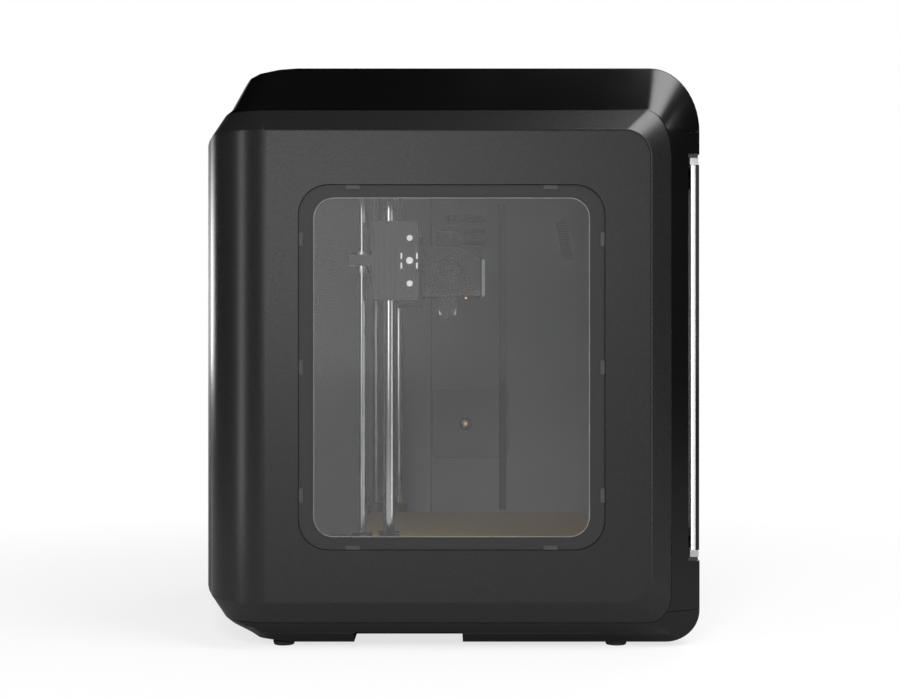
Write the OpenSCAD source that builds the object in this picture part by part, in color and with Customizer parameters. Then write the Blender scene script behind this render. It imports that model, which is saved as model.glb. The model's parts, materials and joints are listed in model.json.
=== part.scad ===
/* [Casing] */
// Overall width of the casing
body_w = 500; // [480:5:600]
// Overall depth, from the door to the crown of the back
body_d = 486; // [470:2:584]
// Overall height with its feet
body_h = 543; // [520:1:652]
// Thickness of the moulded shells
wall = 3; // [2.4:0.2:3.6]
// Gap at the seams between shells
seam = 0.3; // [0.2:0.05:0.5]
// Height of the rubber feet
foot_h = 4; // [3:0.5:6]
// Step inwards of the first bevel round each side
bevel_in = 13; // [10:0.5:15]
// Height of the first bevel
bevel_up = 20; // [16:1:24]
// Step inwards of the outer bevel
rim_in = 17; // [14:0.5:20]
// Height of the outer bevel at the top
rim_up = 42; // [36:1:48]
// Height of the outer bevel at the bottom
rim_down = 21; // [18:1:24]

/* [Front door and side window] */
// Height of the door slot
door_h = 382; // [300:1:420]
// Thickness of the door's clear pane
pane_t = 4; // [3:0.5:5]
// Thickness of the door's black face frame
face_t = 3.6; // [3:0.2:4]
// Depth of the side window's rebate, along the machine
window_d = 283; // [200:1:320]
// Height of the side window's rebate
window_h = 337; // [240:1:380]
// Width of the window's dark flange
flange_w = 12; // [8:1:18]

/* [Motion] */
// Width of the print bed
bed_w = 235; // [180:1:240]
// Depth of the print bed
bed_d = 239; // [180:1:244]
// Distance between the two Z rods
rod_span = 286; // [280:1:290]
// Diameter of the Z rods
z_rod_d = 12; // [10:1:12]
// Diameter of the X and Y rods
rod_d = 8; // [6:1:8]
// Diameter of the lead screws
screw_d = 8; // [6:1:10]
// Height of the print face at rest
bed_top = 95.2; // [94:0.2:97]
// Height of the nozzle's tip at rest
nozzle_z = 310.2; // [290:0.2:320]

/* [Spool bay] */
// Width of the bay beside the chamber
bay_w = 97; // [92:1:110]
// Diameter of the spool's cheeks
spool_d = 200; // [160:5:210]
// Width of the spool
spool_w = 62; // [50:1:66]
// Side of the square door to the bay
bay_door = 232; // [220:1:250]

/* [Hidden] */
$fn = 48;

side_x = body_w / 2;
front_y = -body_d / 2;
crown_y = body_d / 2;
base_z = foot_h;
// The three tiers of each side: flat face, first bevel's foot, outer bevel's foot.
tier_x = [side_x, side_x - bevel_in, side_x - bevel_in - rim_in];
tier_front = [front_y + 49.3, front_y + 29, front_y];
tier_low = [base_z + rim_down + bevel_up, base_z + rim_down, base_z];
tier_high = [body_h - rim_up - bevel_up, body_h - rim_up, body_h];
// Corner radii at the front of each tier, as [along Y, along Z].
top_round = [[24, 26], [24, 45], [47, 60]];
bottom_round = [[25, 25], [21, 28], [32, 30]];
corner_r = 60;
crown_r = 830;
round_steps = 7;
// Layers of the back, each [step in from the crown, step in from the sides, low Z, high Z].
back_layers = [
    [0, 0, tier_low[0], tier_high[0]],
    [bevel_in, bevel_in, tier_low[1], tier_high[1]],
    [bevel_in + 6, bevel_in, tier_low[1] - 4.5, tier_high[1] + 4.6],
    [35, 25, base_z + 8, body_h - 8],
    [42, 27, base_z + 3.5, body_h - 4.4],
    [56, 29, base_z + 1, body_h - 1.3],
    [72, 29, base_z, body_h]];
// Seams across the outer bevel and down the back.
top_seam = tier_high[1] - 18.2;
base_seam = tier_low[1] + 9.8;
back_seam_x = side_x - 62;

inner_x = side_x - wall;
floor_z = 59;
floor_t = 3;
deck_z = floor_z + floor_t;
partition_x = inner_x + wall - bay_w;
sheet_t = 2.5;
gantry_x = (partition_x - inner_x) / 2;
frame_w = 15;
frame_top = tier_high[0] - 4;
frame_x = [side_x - 28, side_x - 13];
frame_y = [[front_y + 40, front_y + 55], [crown_y - 85, crown_y - 70]];
rail_z = [floor_z - frame_w, floor_z];
leg_x = [120, 120 + frame_w];
crossbar_z = frame_top - frame_w;
crossbar_t = 6;
rear_sheet_t = 2;
rear_half = frame_x[0] - 36.5;
// Inner face of the crowned back, at a distance from the middle.
function back_inside(x) = crown_y - crown_r + sqrt(pow(crown_r - wall, 2) - x * x);
rear_wall_y = back_inside(rear_half) - 5.927 - rear_sheet_t;
run = 0.05;

// Z axis.
z_rod_y = 50.2;
screw_y = 76.1;
left_x = gantry_x - rod_span / 2;
right_x = gantry_x + rod_span / 2;
coupler_r = 10;
coupler_z = [72, 104];
motor_w = 42.3;

// X axis, placed from the nozzle.
x_rod_y = 30;
low_rod_z = nozzle_z + 31.3;
high_rod_z = nozzle_z + 74.5;
belt_z = nozzle_z + 51.5;
x_end_z = [nozzle_z + 15.6, nozzle_z + 90.6];
x_end_half = 14;
x_end_y = [22, 66];
cavity_z = [belt_z - 9.2, belt_z + 9.3];
pulley_r = 6.4;
belt_t = 1.3;
belt_w = 6;
idler_x = left_x + 3;
bearing_r = z_rod_d / 2 + 4.5;
rod_bearing_r = rod_d / 2 + 3.5;
x_motor_x = right_x + x_end_half + motor_w / 2 - 5;
nut_z = [nozzle_z + 41.8, nozzle_z + 48.6, nozzle_z + 58.6, nozzle_z + 62.1];
head_y = [-44.4, 19];
head_z = [nozzle_z + 23, nozzle_z + 75.5];
head_half = 30;
fan_y = -7.6;
fan_z = nozzle_z + 52.9;
fan_r = 13.7;
nozzle_y = -5.8;

// Y axis.
bed_x = gantry_x + 6.5;
bed_y = -36.8;
y_rod_z = 72.3;
y_rod_x = 60;
y_pulley_z = 69.5;
y_motor_y = rear_wall_y - 16;
y_idler_y = front_y + 38;
y_rod_y = [front_y + 22, rear_wall_y - 2];
plate_t = 4;
sheet_z = bed_top - 1;

// Door slot.
slot_z = [tier_low[1] + 55.3, tier_low[1] + 55.3 + door_h];
slot_y = front_y + 11.9;
door_right = partition_x - 17;
hinge_x = -tier_x[2] + 0.5;
hinge_y = front_y + 5.8;
door_left = hinge_x - 3;
door_back = front_y + 8.6;
door_front = front_y + 1;
door_z = [slot_z[0] + 1.3, slot_z[1] - 1.3];
notch_h = 9.2;
notch_w = 16;
cap_z = 6.6;
cap_x = [door_left - 0.5, door_left + notch_w - 1];
cap_y = [door_front + 0.7, door_back + 1.2];
pin_r = 2;

// Touch screen, and the loose lid in the top.
screen_mid = (door_right + tier_x[2]) / 2 + 2;
screen_x = [screen_mid - 33, screen_mid + 33];
screen_z = [tier_low[1] + 295, tier_low[1] + 401];
lid_x = [-tier_x[2] + 15, partition_x - 18];
lid_y = [front_y + 76, crown_y - 92];

// Side window.
window_y = [-9.8 - window_d / 2, -9.8 + window_d / 2];
window_z = [262.3 - window_h / 2, 262.3 + window_h / 2];
window_r = 28;
lip = 6;
clip_half = 6.5;
clip_y = [window_y[0] + 50.5, window_y[1] - 50.5];
clip_z = [window_z[0] + 50.5, (window_z[0] + window_z[1]) / 2, window_z[1] - 50.5];

// Spool bay.
spool_y = 30;
spool_z = 270;
spool_x = [inner_x - 19 - spool_w, inner_x - 19];
hub_r = 25.7;
bay_y = [spool_y - bay_door / 2, spool_y + bay_door / 2];
bay_z = [spool_z - bay_door / 2, spool_z + bay_door / 2];
bay_gap = 0.9;
bay_plate_t = 3.5;
bay_hinge_x = side_x - bay_plate_t / 2;
bay_hinge_y = bay_y[1] - bay_gap - 3.5;
bay_pin_r = 1.2;
pin_hole = bay_pin_r + run;

// Hand recess under each side and the pocket for the mains inlet.
grip_y = [-20.3, 81.7];
grip_in = 60;
grip_z = 14.8;
pocket_x = [partition_x + 6, partition_x + 31];
pocket_z = [66, 153];
pocket_y = rear_wall_y + 4;
pocket_mid = (pocket_x[0] + pocket_x[1]) / 2;
rocker_pin_r = 1.2;
rocker_z = 139.5;
vent_x = -60;
vent_z = 385;
vent_r = 36;

// ---- Plain shapes ----

// A box given by its low and high edge along each axis.
module box(x, y, z) {
    translate([x[0], y[0], z[0]])
        cube([x[1] - x[0], y[1] - y[0], z[1] - z[0]]);
}

module bar_x(r, x, y, z) {
    translate([x[0], y, z])
        rotate([0, 90, 0])
            cylinder(r = r, h = x[1] - x[0]);
}

module bar_y(r, x, y, z) {
    translate([x, y[0], z])
        rotate([-90, 0, 0])
            cylinder(r = r, h = y[1] - y[0]);
}

module bar_z(r, x, y, z) {
    translate([x, y, z[0]])
        cylinder(r = r, h = z[1] - z[0]);
}

// A rectangle with round corners, from circles and squares so that its arcs stay true.
module soft_square(a, b, r) {
    translate([a[0] + r, b[0]])
        square([a[1] - a[0] - 2 * r, b[1] - b[0]]);
    translate([a[0], b[0] + r])
        square([a[1] - a[0], b[1] - b[0] - 2 * r]);
    for (p = [a[0] + r, a[1] - r], q = [b[0] + r, b[1] - r])
        translate([p, q])
            circle(r);
}

// An outline drawn in Y and Z, made solid from x[0] to x[1].
module along_x(x) {
    translate([x[0], 0, 0])
        rotate([90, 0, 90])
            linear_extrude(x[1] - x[0])
                children();
}

// An outline drawn in X and Z, made solid from y[0] to y[1].
module along_y(y) {
    translate([0, y[1], 0])
        rotate([90, 0, 0])
            linear_extrude(y[1] - y[0])
                children();
}

module soft_x(x, y, z, r) {
    along_x(x) soft_square(y, z, r);
}

module soft_y(x, y, z, r) {
    along_y(y) soft_square(x, z, r);
}

module both_sides() {
    children();
    mirror([1, 0, 0]) children();
}

function grow(range, by) = [range[0] - by, range[1] + by];

function arc(cx, cy, rx, ry, from, to, steps) =
    [for (i = [0:steps])
        let (a = from + (to - from) * i / steps)
        [cx + rx * cos(a), cy + ry * sin(a)]];

// ---- Casing ----

// Outline of one tier seen from the side, in Y and Z, drawn in by d. The back is open.
function side_outline(t, d) =
    let (f = tier_front[t] + d, lo = tier_low[t] + d, hi = tier_high[t] - d,
         b = bottom_round[t], u = top_round[t])
    concat([[body_d, lo]],
        arc(f + b[0] - d, lo + b[1] - d, b[0] - d, b[1] - d, 270, 180, round_steps),
        arc(f + u[0] - d, hi - u[1] + d, u[0] - d, u[1] - d, 180, 90, round_steps),
        [[body_d, hi]]);

module tier_slab(t, d) {
    along_x([-tier_x[t] + d, tier_x[t] - d])
        polygon(side_outline(t, d));
}

module side_stack(d) {
    hull() {
        tier_slab(0, d);
        tier_slab(1, d);
    }
    hull() {
        tier_slab(1, d);
        tier_slab(2, d);
    }
}

// Plan of one layer of the back: straight sides, round corners and a crowned rear.
module back_slab(layer, d) {
    back = layer[0] + d;
    half = side_x + 0.02 - layer[1] - d;
    r = max(corner_r - layer[0], 14) - d;
    big = crown_r - back;
    centre = crown_y - crown_r;
    cx = half - r;
    cy = centre + sqrt(pow(big - r, 2) - cx * cx);
    lean = atan2(cy - centre, cx);
    translate([0, 0, layer[2] + d])
        linear_extrude(layer[3] - layer[2] - 2 * d)
            polygon(concat(
                [[-half, -body_d], [half, -body_d]],
                arc(cx, cy, r, r, 0, lean, round_steps),
                arc(0, centre, big, big, lean, 180 - lean, 8),
                arc(-cx, cy, r, r, 180 - lean, 180, round_steps)));
}

module back_stack(d) {
    hull() {
        back_slab(back_layers[0], d);
        back_slab(back_layers[1], d);
    }
    hull() {
        for (i = [2:len(back_layers) - 1])
            back_slab(back_layers[i], d);
    }
}

module casing_form(d) {
    intersection() {
        side_stack(d);
        back_stack(d);
    }
}

module casing_shell() {
    difference() {
        casing_form(0);
        casing_form(wall);
    }
}

// The space that the side panels and the rear panel fill, inside the outer bevel.
module panel_zone(gap) {
    along_x([-body_w, body_w])
        polygon(side_outline(1, gap));
}

// The shell outside the panels, between two heights.
module cover_shell(z) {
    difference() {
        intersection() {
            casing_shell();
            box([-body_w, body_w], [-body_d, body_d], z);
        }
        panel_zone(-seam / 2);
    }
}

module grip_pocket(grow_by, top) {
    both_sides()
        box([side_x - grip_in - 13 - grow_by, side_x], grow(grip_y, grow_by), [-1, top]);
}

module base_cover() {
    color("#141416")
        difference() {
            union() {
                cover_shell([-1, base_seam - seam / 2]);
                intersection() {
                    casing_form(0.02);
                    grip_pocket(wall, grip_z + wall);
                }
            }
            grip_pocket(0, grip_z);
            // Air slots under the electronics.
            for (i = [0:7])
                box([-120 + 14 * i, -114 + 14 * i], [-160, -100], [0, base_z + wall + 1]);
        }
}

module front_bezel() {
    back = slot_y + wall;
    color("#17181a")
        difference() {
            union() {
                cover_shell([base_seam + seam / 2, top_seam - seam / 2]);
                intersection() {
                    casing_form(0.02);
                    box([hinge_x - 20, door_right + 4.5], [front_y, back], grow(slot_z, wall));
                }
            }
            box([-body_w, door_right + 1.5], [-body_d, slot_y], slot_z);
            // Way into the chamber.
            soft_y([-inner_x + 42, door_right - 12], [slot_y - 1, back + 1],
                [slot_z[0] + 8, slot_z[1] - 12], 12);
            // Finger scoop beside the door, the screen's hole and a data socket.
            soft_y([door_right - 3, door_right + 9], [-body_d, front_y + 2.2], [236, 306], 5);
            soft_y(screen_x, [-body_d, front_y + wall + 1], screen_z, 5);
            box([screen_mid - 7, screen_mid + 7], [-body_d, front_y + wall + 1], [292, 298]);
        }
}

module top_cover() {
    color("#17181a")
        difference() {
            union() {
                cover_shell([top_seam + seam / 2, body_h + 1]);
                box(grow(lid_x, 4), grow(lid_y, 4), [body_h - 2 * wall, body_h - wall]);
            }
            soft_z(lid_x, lid_y, [body_h - wall, body_h + 1], 16);
            soft_z(grow(lid_x, -8), grow(lid_y, -8), [body_h - 3 * wall, body_h + 1], 12);
        }
}

module soft_z(x, y, z, r) {
    translate([0, 0, z[0]])
        linear_extrude(z[1] - z[0])
            soft_square(x, y, r);
}

module top_lid() {
    color("#101012")
        difference() {
            soft_z(grow(lid_x, -0.4), grow(lid_y, -0.4), [body_h - wall, body_h], 15.6);
            soft_z([-75, 5], [lid_y[0] + 10, lid_y[0] + 30], [body_h - 1.6, body_h + 1], 9);
        }
}

module window_opening(by, x) {
    soft_x(x, grow(window_y, by), grow(window_z, by), window_r + by);
}

module left_side_panel() {
    color("#3a3b3d")
        difference() {
            union() {
                intersection() {
                    casing_shell();
                    panel_zone(seam / 2);
                    box([-body_w, -back_seam_x - seam / 2], [-body_d, body_d], [0, body_h]);
                }
                window_opening(2.5, [-inner_x - 0.5, -inner_x + 3.5]);
            }
            window_opening(0, [-side_x - 1, -inner_x + 1]);
            window_opening(-lip, [-side_x - 1, -inner_x + 5]);
        }
}

module right_side_panel() {
    ear = 6;
    color("#3a3b3d")
        difference() {
            union() {
                intersection() {
                    casing_shell();
                    panel_zone(seam / 2);
                    box([back_seam_x + seam / 2, body_w], [-body_d, body_d], [0, body_h]);
                }
                // Ears that hold the bay door's hinge pins.
                for (z = [bay_z[0] - ear, bay_z[1]])
                    box([inner_x - 3, inner_x + 0.5], grow([bay_hinge_y, bay_hinge_y], 5), [z, z + ear]);
                // Stop that the bay door closes on.
                box([inner_x - 3, inner_x + 0.5], [bay_y[0] - 4, bay_y[0] + 4],
                    [bay_z[0] + 30, bay_z[1] - 30]);
            }
            box([side_x - bay_plate_t - 0.1, body_w], bay_y, bay_z);
            for (z = [bay_z[0] - ear - 1, bay_z[1] - 1])
                bar_z(pin_hole, bay_hinge_x, bay_hinge_y, [z, z + ear + 2]);
            for (i = [0:5])
                box([inner_x - 1, body_w], [-110, -20], [66 + 12 * i, 71 + 12 * i]);
        }
}

module rear_panel() {
    rim = 2.5;
    color("#222326")
        difference() {
            union() {
                intersection() {
                    casing_shell();
                    panel_zone(seam / 2);
                    box(grow([-back_seam_x, back_seam_x], -seam / 2), [0, body_d], [0, body_h]);
                }
                intersection() {
                    casing_form(0.02);
                    box(grow(pocket_x, rim), [pocket_y - wall, body_d], grow(pocket_z, rim));
                }
            }
            box(pocket_x, [pocket_y, body_d], pocket_z);
            box([pocket_mid - 10.3, pocket_mid + 10.3], [0, body_d], [84.7, 113.3]);
            box([pocket_mid - 7.3, pocket_mid + 7.3], [0, body_d], [130.2, 148.8]);
            // Outlet slots over the exhaust fan.
            for (i = [0:8])
                box([vent_x - 42 + 10 * i, vent_x - 38 + 10 * i], [0, body_d], [vent_z - 40, vent_z + 40]);
        }
}

module feet() {
    color("#1b1b1b")
        for (x = [-tier_x[2] + 12, tier_x[2] - 12], y = [front_y + 77.7, crown_y - 94.3])
            translate([x, y, 0])
                cylinder(r1 = 9.5, r2 = 10.5, h = foot_h);
}

module window_frame() {
    inner = [flange_w + 2, flange_w];
    color("#0c0c0e")
        difference() {
            window_opening(-0.3, [-side_x + 1.7, -inner_x + 1]);
            soft_x([-side_x - 1, -inner_x], grow(window_y, -inner[0]), grow(window_z, -inner[1]), 19);
            soft_x([-side_x - 1, -inner_x + 2], grow(window_y, -inner[0] - 3),
                grow(window_z, -inner[1] - 3), 16);
        }
}

module window_pane() {
    inset = [flange_w + 2.2, flange_w + 0.2];
    color("#8e9398", 0.4)
        soft_x([-side_x + 0.2, -inner_x], grow(window_y, -inset[0]), grow(window_z, -inset[1]), 18.8);
}

// Ten snap tabs on the window's flange, just inside its rebate.
module window_clips() {
    x = [-side_x + 0.5, -side_x + 1.7];
    color("#a9abad")
        union() {
            for (y = clip_y, z = [window_z[0] + 0.6, window_z[1] - 4.6])
                box(x, grow([y, y], clip_half), [z, z + 4]);
            for (y = [window_y[0] + 0.6, window_y[1] - 4.6], z = clip_z)
                box(x, [y, y + 4], grow([z, z], clip_half));
        }
}

// ---- Steel inside ----

// Welded from square tube, with a crossbar over the Z rods and short legs down to the base.
module chassis_frame() {
    leg_z = [base_z + wall + 1.5, rail_z[0] + 1];
    color("#5c6064")
        difference() {
            union() {
                both_sides() {
                    for (y = frame_y) {
                        box(frame_x, y, [rail_z[0], frame_top]);
                        box(leg_x, y, leg_z);
                    }
                    for (z = [rail_z[0], crossbar_z])
                        box(frame_x, [frame_y[0][0], frame_y[1][1]], [z, z + frame_w]);
                }
                for (y = frame_y, z = [rail_z[0], crossbar_z])
                    box([-frame_x[1], frame_x[1]], y, [z, z + frame_w]);
                box([-frame_x[0] - 1, partition_x + sheet_t], [40, 92], [crossbar_z, crossbar_z + crossbar_t]);
            }
            for (x = [left_x, right_x]) {
                bar_z(z_rod_d / 2 + run, x, z_rod_y, [crossbar_z - 1, crossbar_z + crossbar_t + 1]);
                bar_z(screw_d / 2 + run, x, screw_y, [crossbar_z - 1, crossbar_z + crossbar_t + 1]);
            }
        }
}

module chassis_floor() {
    edge = frame_x[0] - 0.5;
    color("#6a6e72")
        difference() {
            union() {
                box([-edge, edge], [front_y + 17, frame_y[1][1]], [floor_z, deck_z]);
                box([-rear_half, rear_half], [frame_y[1][1] - 1, rear_wall_y], [floor_z, deck_z]);
            }
            for (x = [left_x, right_x])
                bar_z(8, x, screw_y, [floor_z - 1, deck_z + 1]);
            bar_z(8, bed_x, y_motor_y, [floor_z - 1, deck_z + 1]);
            bar_z(2.5 + run, bed_x, y_idler_y, [floor_z - 1, deck_z + 1]);
        }
}

// Power supply and controller board, flat in the base under the floor.
module electronics() {
    low = base_z + wall;
    color("#3f4a45")
        union() {
            box([-160, 55], [-170, -60], [low, low + 33]);
            box([70, 195], [-150, -40], [low + 6, low + 7.6]);
            for (x = [76, 189], y = [-144, -46])
                bar_z(3, x, y, [low, low + 6.5]);
            for (i = [0:3])
                box([84 + 26 * i, 96 + 26 * i], [-110, -98], [low + 7, low + 18]);
        }
}

module chamber_rear_wall() {
    color("#2c2d2f")
        difference() {
            box([-rear_half, partition_x], [rear_wall_y, rear_wall_y + rear_sheet_t],
                [floor_z, crossbar_z + crossbar_t]);
            bar_y(vent_r, vent_x, [0, body_d], vent_z);
        }
}
module partition_wall() {
    color("#2c2d2f")
        difference() {
            box([partition_x, partition_x + sheet_t], [front_y + 17, rear_wall_y],
                [deck_z, crossbar_z]);
            // Fan slots, the cable groove and the lens hole.
            soft_x([0, body_w], [-49.5, 7], [415, 421], 2.5);
            soft_x([0, body_w], [-49.5, -17.7], [401, 407], 2.5);
            soft_x([0, body_w], [-48.3, -6], [428.5, 437.9], 2.5);
            box([0, partition_x + 1], [-74.5, -65.9], [90, 448.5]);
            box([0, partition_x + 0.6], [13.4, 14.6], [deck_z, crossbar_z]);
        }
}

// ---- Z axis ----

module z_rods() {
    color("#c9ccd0")
        for (x = [left_x, right_x])
            bar_z(z_rod_d / 2, x, z_rod_y, [deck_z, crossbar_z + crossbar_t]);
}

module z_rod_sockets() {
    color("#28292b")
        for (x = [left_x, right_x])
            difference() {
                union() {
                    box([x - 16, x + 16], [z_rod_y - 12, screw_y - coupler_r - 2], [deck_z, deck_z + 6]);
                    bar_z(z_rod_d / 2 + 4, x, z_rod_y, [deck_z, coupler_z[1]]);
                }
                bar_z(z_rod_d / 2 + run, x, z_rod_y, [deck_z - 1, coupler_z[1] + 1]);
            }
}

module stepper(x, y, top, h) {
    half = motor_w / 2;
    difference() {
        box([x - half, x + half], [y - half, y + half], [top - h, top]);
        bar_z(2.5 + run, x, y, [top - 12, top + 1]);
    }
}

// The two screw motors and the bed's belt motor hang under the floor.
module base_motors() {
    color("#26272a") {
        for (x = [left_x, right_x])
            stepper(x, screw_y, floor_z, 38);
        stepper(bed_x, y_motor_y, floor_z, 34);
    }
}

module lead_screw(x) {
    color("#b9bcc0")
        bar_z(screw_d / 2, x, screw_y, [coupler_z[0] + 16, crossbar_z + crossbar_t + 3]);
}

module coupler(x) {
    color("#3b3d40")
        difference() {
            union() {
                bar_z(coupler_r, x, screw_y, coupler_z);
                bar_z(2.5, x, screw_y, [floor_z - 10, coupler_z[0] + 1]);
            }
            bar_z(screw_d / 2, x, screw_y, [coupler_z[0] + 16, coupler_z[1] + 1]);
        }
}

// ---- X axis, carried up and down by the screws ----

module x_end(x, out) {
    difference() {
        union() {
            box(grow([x, x], x_end_half), x_end_y, x_end_z);
            box(grow([x, x], 11), [x_end_y[1] - 1, screw_y + 12], [nut_z[1], nut_z[2]]);
            children();
        }
        bar_z(bearing_r, x, z_rod_y, grow(x_end_z, 1));
        bar_z(5 + run, x, screw_y, grow([nut_z[1], nut_z[2]], 1));
        box(grow([x, x], x_end_half + 1), [x_end_y[0] - 3, x_rod_y + 8.3], cavity_z);
        for (z = [low_rod_z, high_rod_z]) {
            bar_x(rod_d / 2, out > 0 ? [x - 20, x + x_end_half - 1.5] : [x - x_end_half + 1.5, x + 20],
                x_rod_y, z);
            bar_x(2.9, grow([x, x], x_end_half + 1), x_rod_y, z);
        }
        // Ribs down the outer face.
        for (y = [43, 48, 53, 58, 63])
            box(out > 0 ? [x + x_end_half - 1, x + x_end_half + 1]
                        : [x - x_end_half - 1, x - x_end_half + 1],
                [y - 0.6, y + 0.6], grow(x_end_z, 1));
    }
}

module left_x_end() {
    color("#1f2022")
        x_end(left_x, -1);
}

module right_x_end() {
    color("#1f2022")
        difference() {
            x_end(right_x, 1) {
                box([right_x, x_motor_x + motor_w / 2], [x_end_y[0], x_end_y[0] + 3.5],
                    grow([belt_z, belt_z], motor_w / 2));
            }
            bar_y(11.5, x_motor_x, [0, x_rod_y], belt_z);
        }
}

module z_bearings() {
    color("#b4b7ba")
        for (x = [left_x, right_x], z = [x_end_z[0] + 0.5, x_end_z[1] - 25.5])
            difference() {
                bar_z(bearing_r, x, z_rod_y, [z, z + 25]);
                bar_z(z_rod_d / 2 + run, x, z_rod_y, [z - 1, z + 26]);
            }
}

module screw_nuts() {
    color("#b08d4a")
        for (x = [left_x, right_x])
            difference() {
                union() {
                    bar_z(9.8, x, screw_y, [nut_z[2], nut_z[3]]);
                    bar_z(5, x, screw_y, [nut_z[0], nut_z[2] + 1]);
                    bar_z(8.5, x, screw_y, [nut_z[0], nut_z[1]]);
                }
                bar_z(screw_d / 2 + run, x, screw_y, [nut_z[0] - 1, nut_z[3] + 1]);
            }
}

module x_rods() {
    color("#d5d8da")
        for (z = [low_rod_z, high_rod_z])
            bar_x(rod_d / 2, [left_x - x_end_half + 1.5, right_x + x_end_half - 1.5], x_rod_y, z);
}

module x_motor() {
    half = motor_w / 2;
    color("#26272a")
        difference() {
            box([x_motor_x - half, x_motor_x + half], [x_end_y[0] - 38, x_end_y[0]],
                [belt_z - half, belt_z + half]);
            bar_y(2.5 + run, x_motor_x, [x_end_y[0] - 12, x_end_y[0] + 1], belt_z);
        }
}

module x_drive_pulley() {
    color("#c2c5c8")
        union() {
            bar_y(2.5, x_motor_x, [x_end_y[0] - 10, x_rod_y + 5], belt_z);
            bar_y(pulley_r, x_motor_x, grow([x_rod_y, x_rod_y], belt_w / 2 + 0.4), belt_z);
            for (y = [x_rod_y - belt_w / 2 - 1.4, x_rod_y + belt_w / 2 + 0.4])
                bar_y(pulley_r + 1.6, x_motor_x, [y, y + 1], belt_z);
        }
}

module x_idler() {
    color("#c2c5c8")
        difference() {
            union() {
                bar_y(pulley_r, idler_x, grow([x_rod_y, x_rod_y], belt_w / 2 + 1), belt_z);
                for (y = [x_rod_y - 4.6, x_rod_y + 3.6])
                    bar_y(pulley_r + 0.9, idler_x, [y, y + 1], belt_z);
            }
            bar_y(2 + run, idler_x, [0, 60], belt_z);
        }
}

// A belt's two runs and the half turns round its pulleys, as an outline along one axis.
module belt_loop(from, to) {
    inner = pulley_r + 0.1;
    difference() {
        union() {
            translate([from, -inner - belt_t]) square([to - from, 2 * (inner + belt_t)]);
            for (x = [from, to]) translate([x, 0]) circle(inner + belt_t);
        }
        translate([from, -inner]) square([to - from, 2 * inner]);
        for (x = [from, to]) translate([x, 0]) circle(inner);
    }
}

module x_belt() {
    color("#101010")
        along_y(grow([x_rod_y, x_rod_y], belt_w / 2))
            translate([0, belt_z])
                belt_loop(idler_x, x_motor_x);
}

// Stretched from its seat between the two rods by one screw.
module belt_tensioner() {
    x0 = left_x - x_end_half + 0.5;
    color("#9a9da0")
        difference() {
            union() {
                box([x0, x0 + 2], [22, 38], [cavity_z[0], cavity_z[1]]);
                for (y = [22, 36])
                    box([x0, idler_x + 6], [y, y + 2], [belt_z - 7.7, belt_z + 7.7]);
                bar_x(3.3, [x0 - 2.5, x0], x_rod_y, belt_z);
                bar_y(2, idler_x, [22, 38], belt_z);
            }
            bar_x(1.6, [x0 - 3, x0 - 1], x_rod_y, belt_z);
        }
}

// ---- Toolhead ----

module carriage() {
    half = 17.5;
    x = grow([gantry_x, gantry_x], half);
    color("#232427")
        difference() {
            box(x, [head_y[1], 41], [low_rod_z - 10.5, high_rod_z + 10.5]);
            for (z = [low_rod_z, high_rod_z])
                bar_x(rod_d / 2 + run, grow(x, 1), x_rod_y, z);
            box(grow(x, 1), [x_rod_y - 4, x_rod_y + 4],
                [belt_z - pulley_r - belt_t - 0.4, belt_z + pulley_r + belt_t + 0.4]);
        }
}

module toolhead_cover() {
    x = grow([gantry_x, gantry_x], head_half);
    chamfer = [[head_y[0] + 3.4, head_z[1] - 12], [head_y[0] + 25, head_z[1]]];
    color("#1a1b1d")
        difference() {
            along_x(x)
                polygon([[head_y[1], head_z[0]], [head_y[1], head_z[1]], chamfer[1], chamfer[0],
                    [head_y[0] + 3.4, head_z[0]]]);
            // Room for the hot end, opened below, and the fan's round seat in the near side.
            box(grow(x, -7), [head_y[0] + 10, head_y[1] - 3], [head_z[0] - 1, head_z[1] - 8]);
            bar_x(fan_r - 1.2, [x[0] - 1, x[0] + 8], fan_y, fan_z);
            // Seat of the release latch.
            box([x[0] - 1, x[0] + 6], [head_y[0] + 4, head_y[0] + 13], [head_z[0] - 1, head_z[0] + 7.6]);
        }
}

module front_heatsink_plate() {
    x = grow([gantry_x, gantry_x], head_half - 2);
    color("#c4c7ca")
        difference() {
            box(x, [head_y[0], head_y[0] + 3.4], [head_z[0] + 1, head_z[1] - 14]);
            for (i = [0:6])
                box([x[0] + 5 + 7 * i, x[0] + 8 + 7 * i], [head_y[0] - 1, head_y[0] + 1.6],
                    [head_z[0] + 5, head_z[1] - 18]);
        }
}

// The part fan's wheel: fins round a hub, facing the left side.
module fan_impeller() {
    x = gantry_x - head_half;
    fins = 18;
    color("#2e3033")
        union() {
            bar_x(4, [x + 0.5, x + 6.5], fan_y, fan_z);
            bar_x(fan_r - 1.7, [x + 5.5, x + 6.8], fan_y, fan_z);
            translate([x + 1, fan_y, fan_z])
                rotate([0, 90, 0])
                    for (i = [0:fins - 1])
                        rotate([0, 0, 360 * i / fins])
                            translate([3, -0.5, 0])
                                cube([fan_r - 5, 1, 5]);
        }
}

module hotend() {
    x = grow([gantry_x, gantry_x], 9);
    color("#b59a5a")
        union() {
            bar_z(7.5, gantry_x, nozzle_y, [nozzle_z + 14, head_z[1] - 8]);
            box(x, [nozzle_y - 9, nozzle_y + 9], [nozzle_z + 4.5, nozzle_z + 15]);
            translate([gantry_x, nozzle_y, nozzle_z])
                cylinder(r1 = 0.6, r2 = 4, h = 4.5);
        }
}

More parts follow.
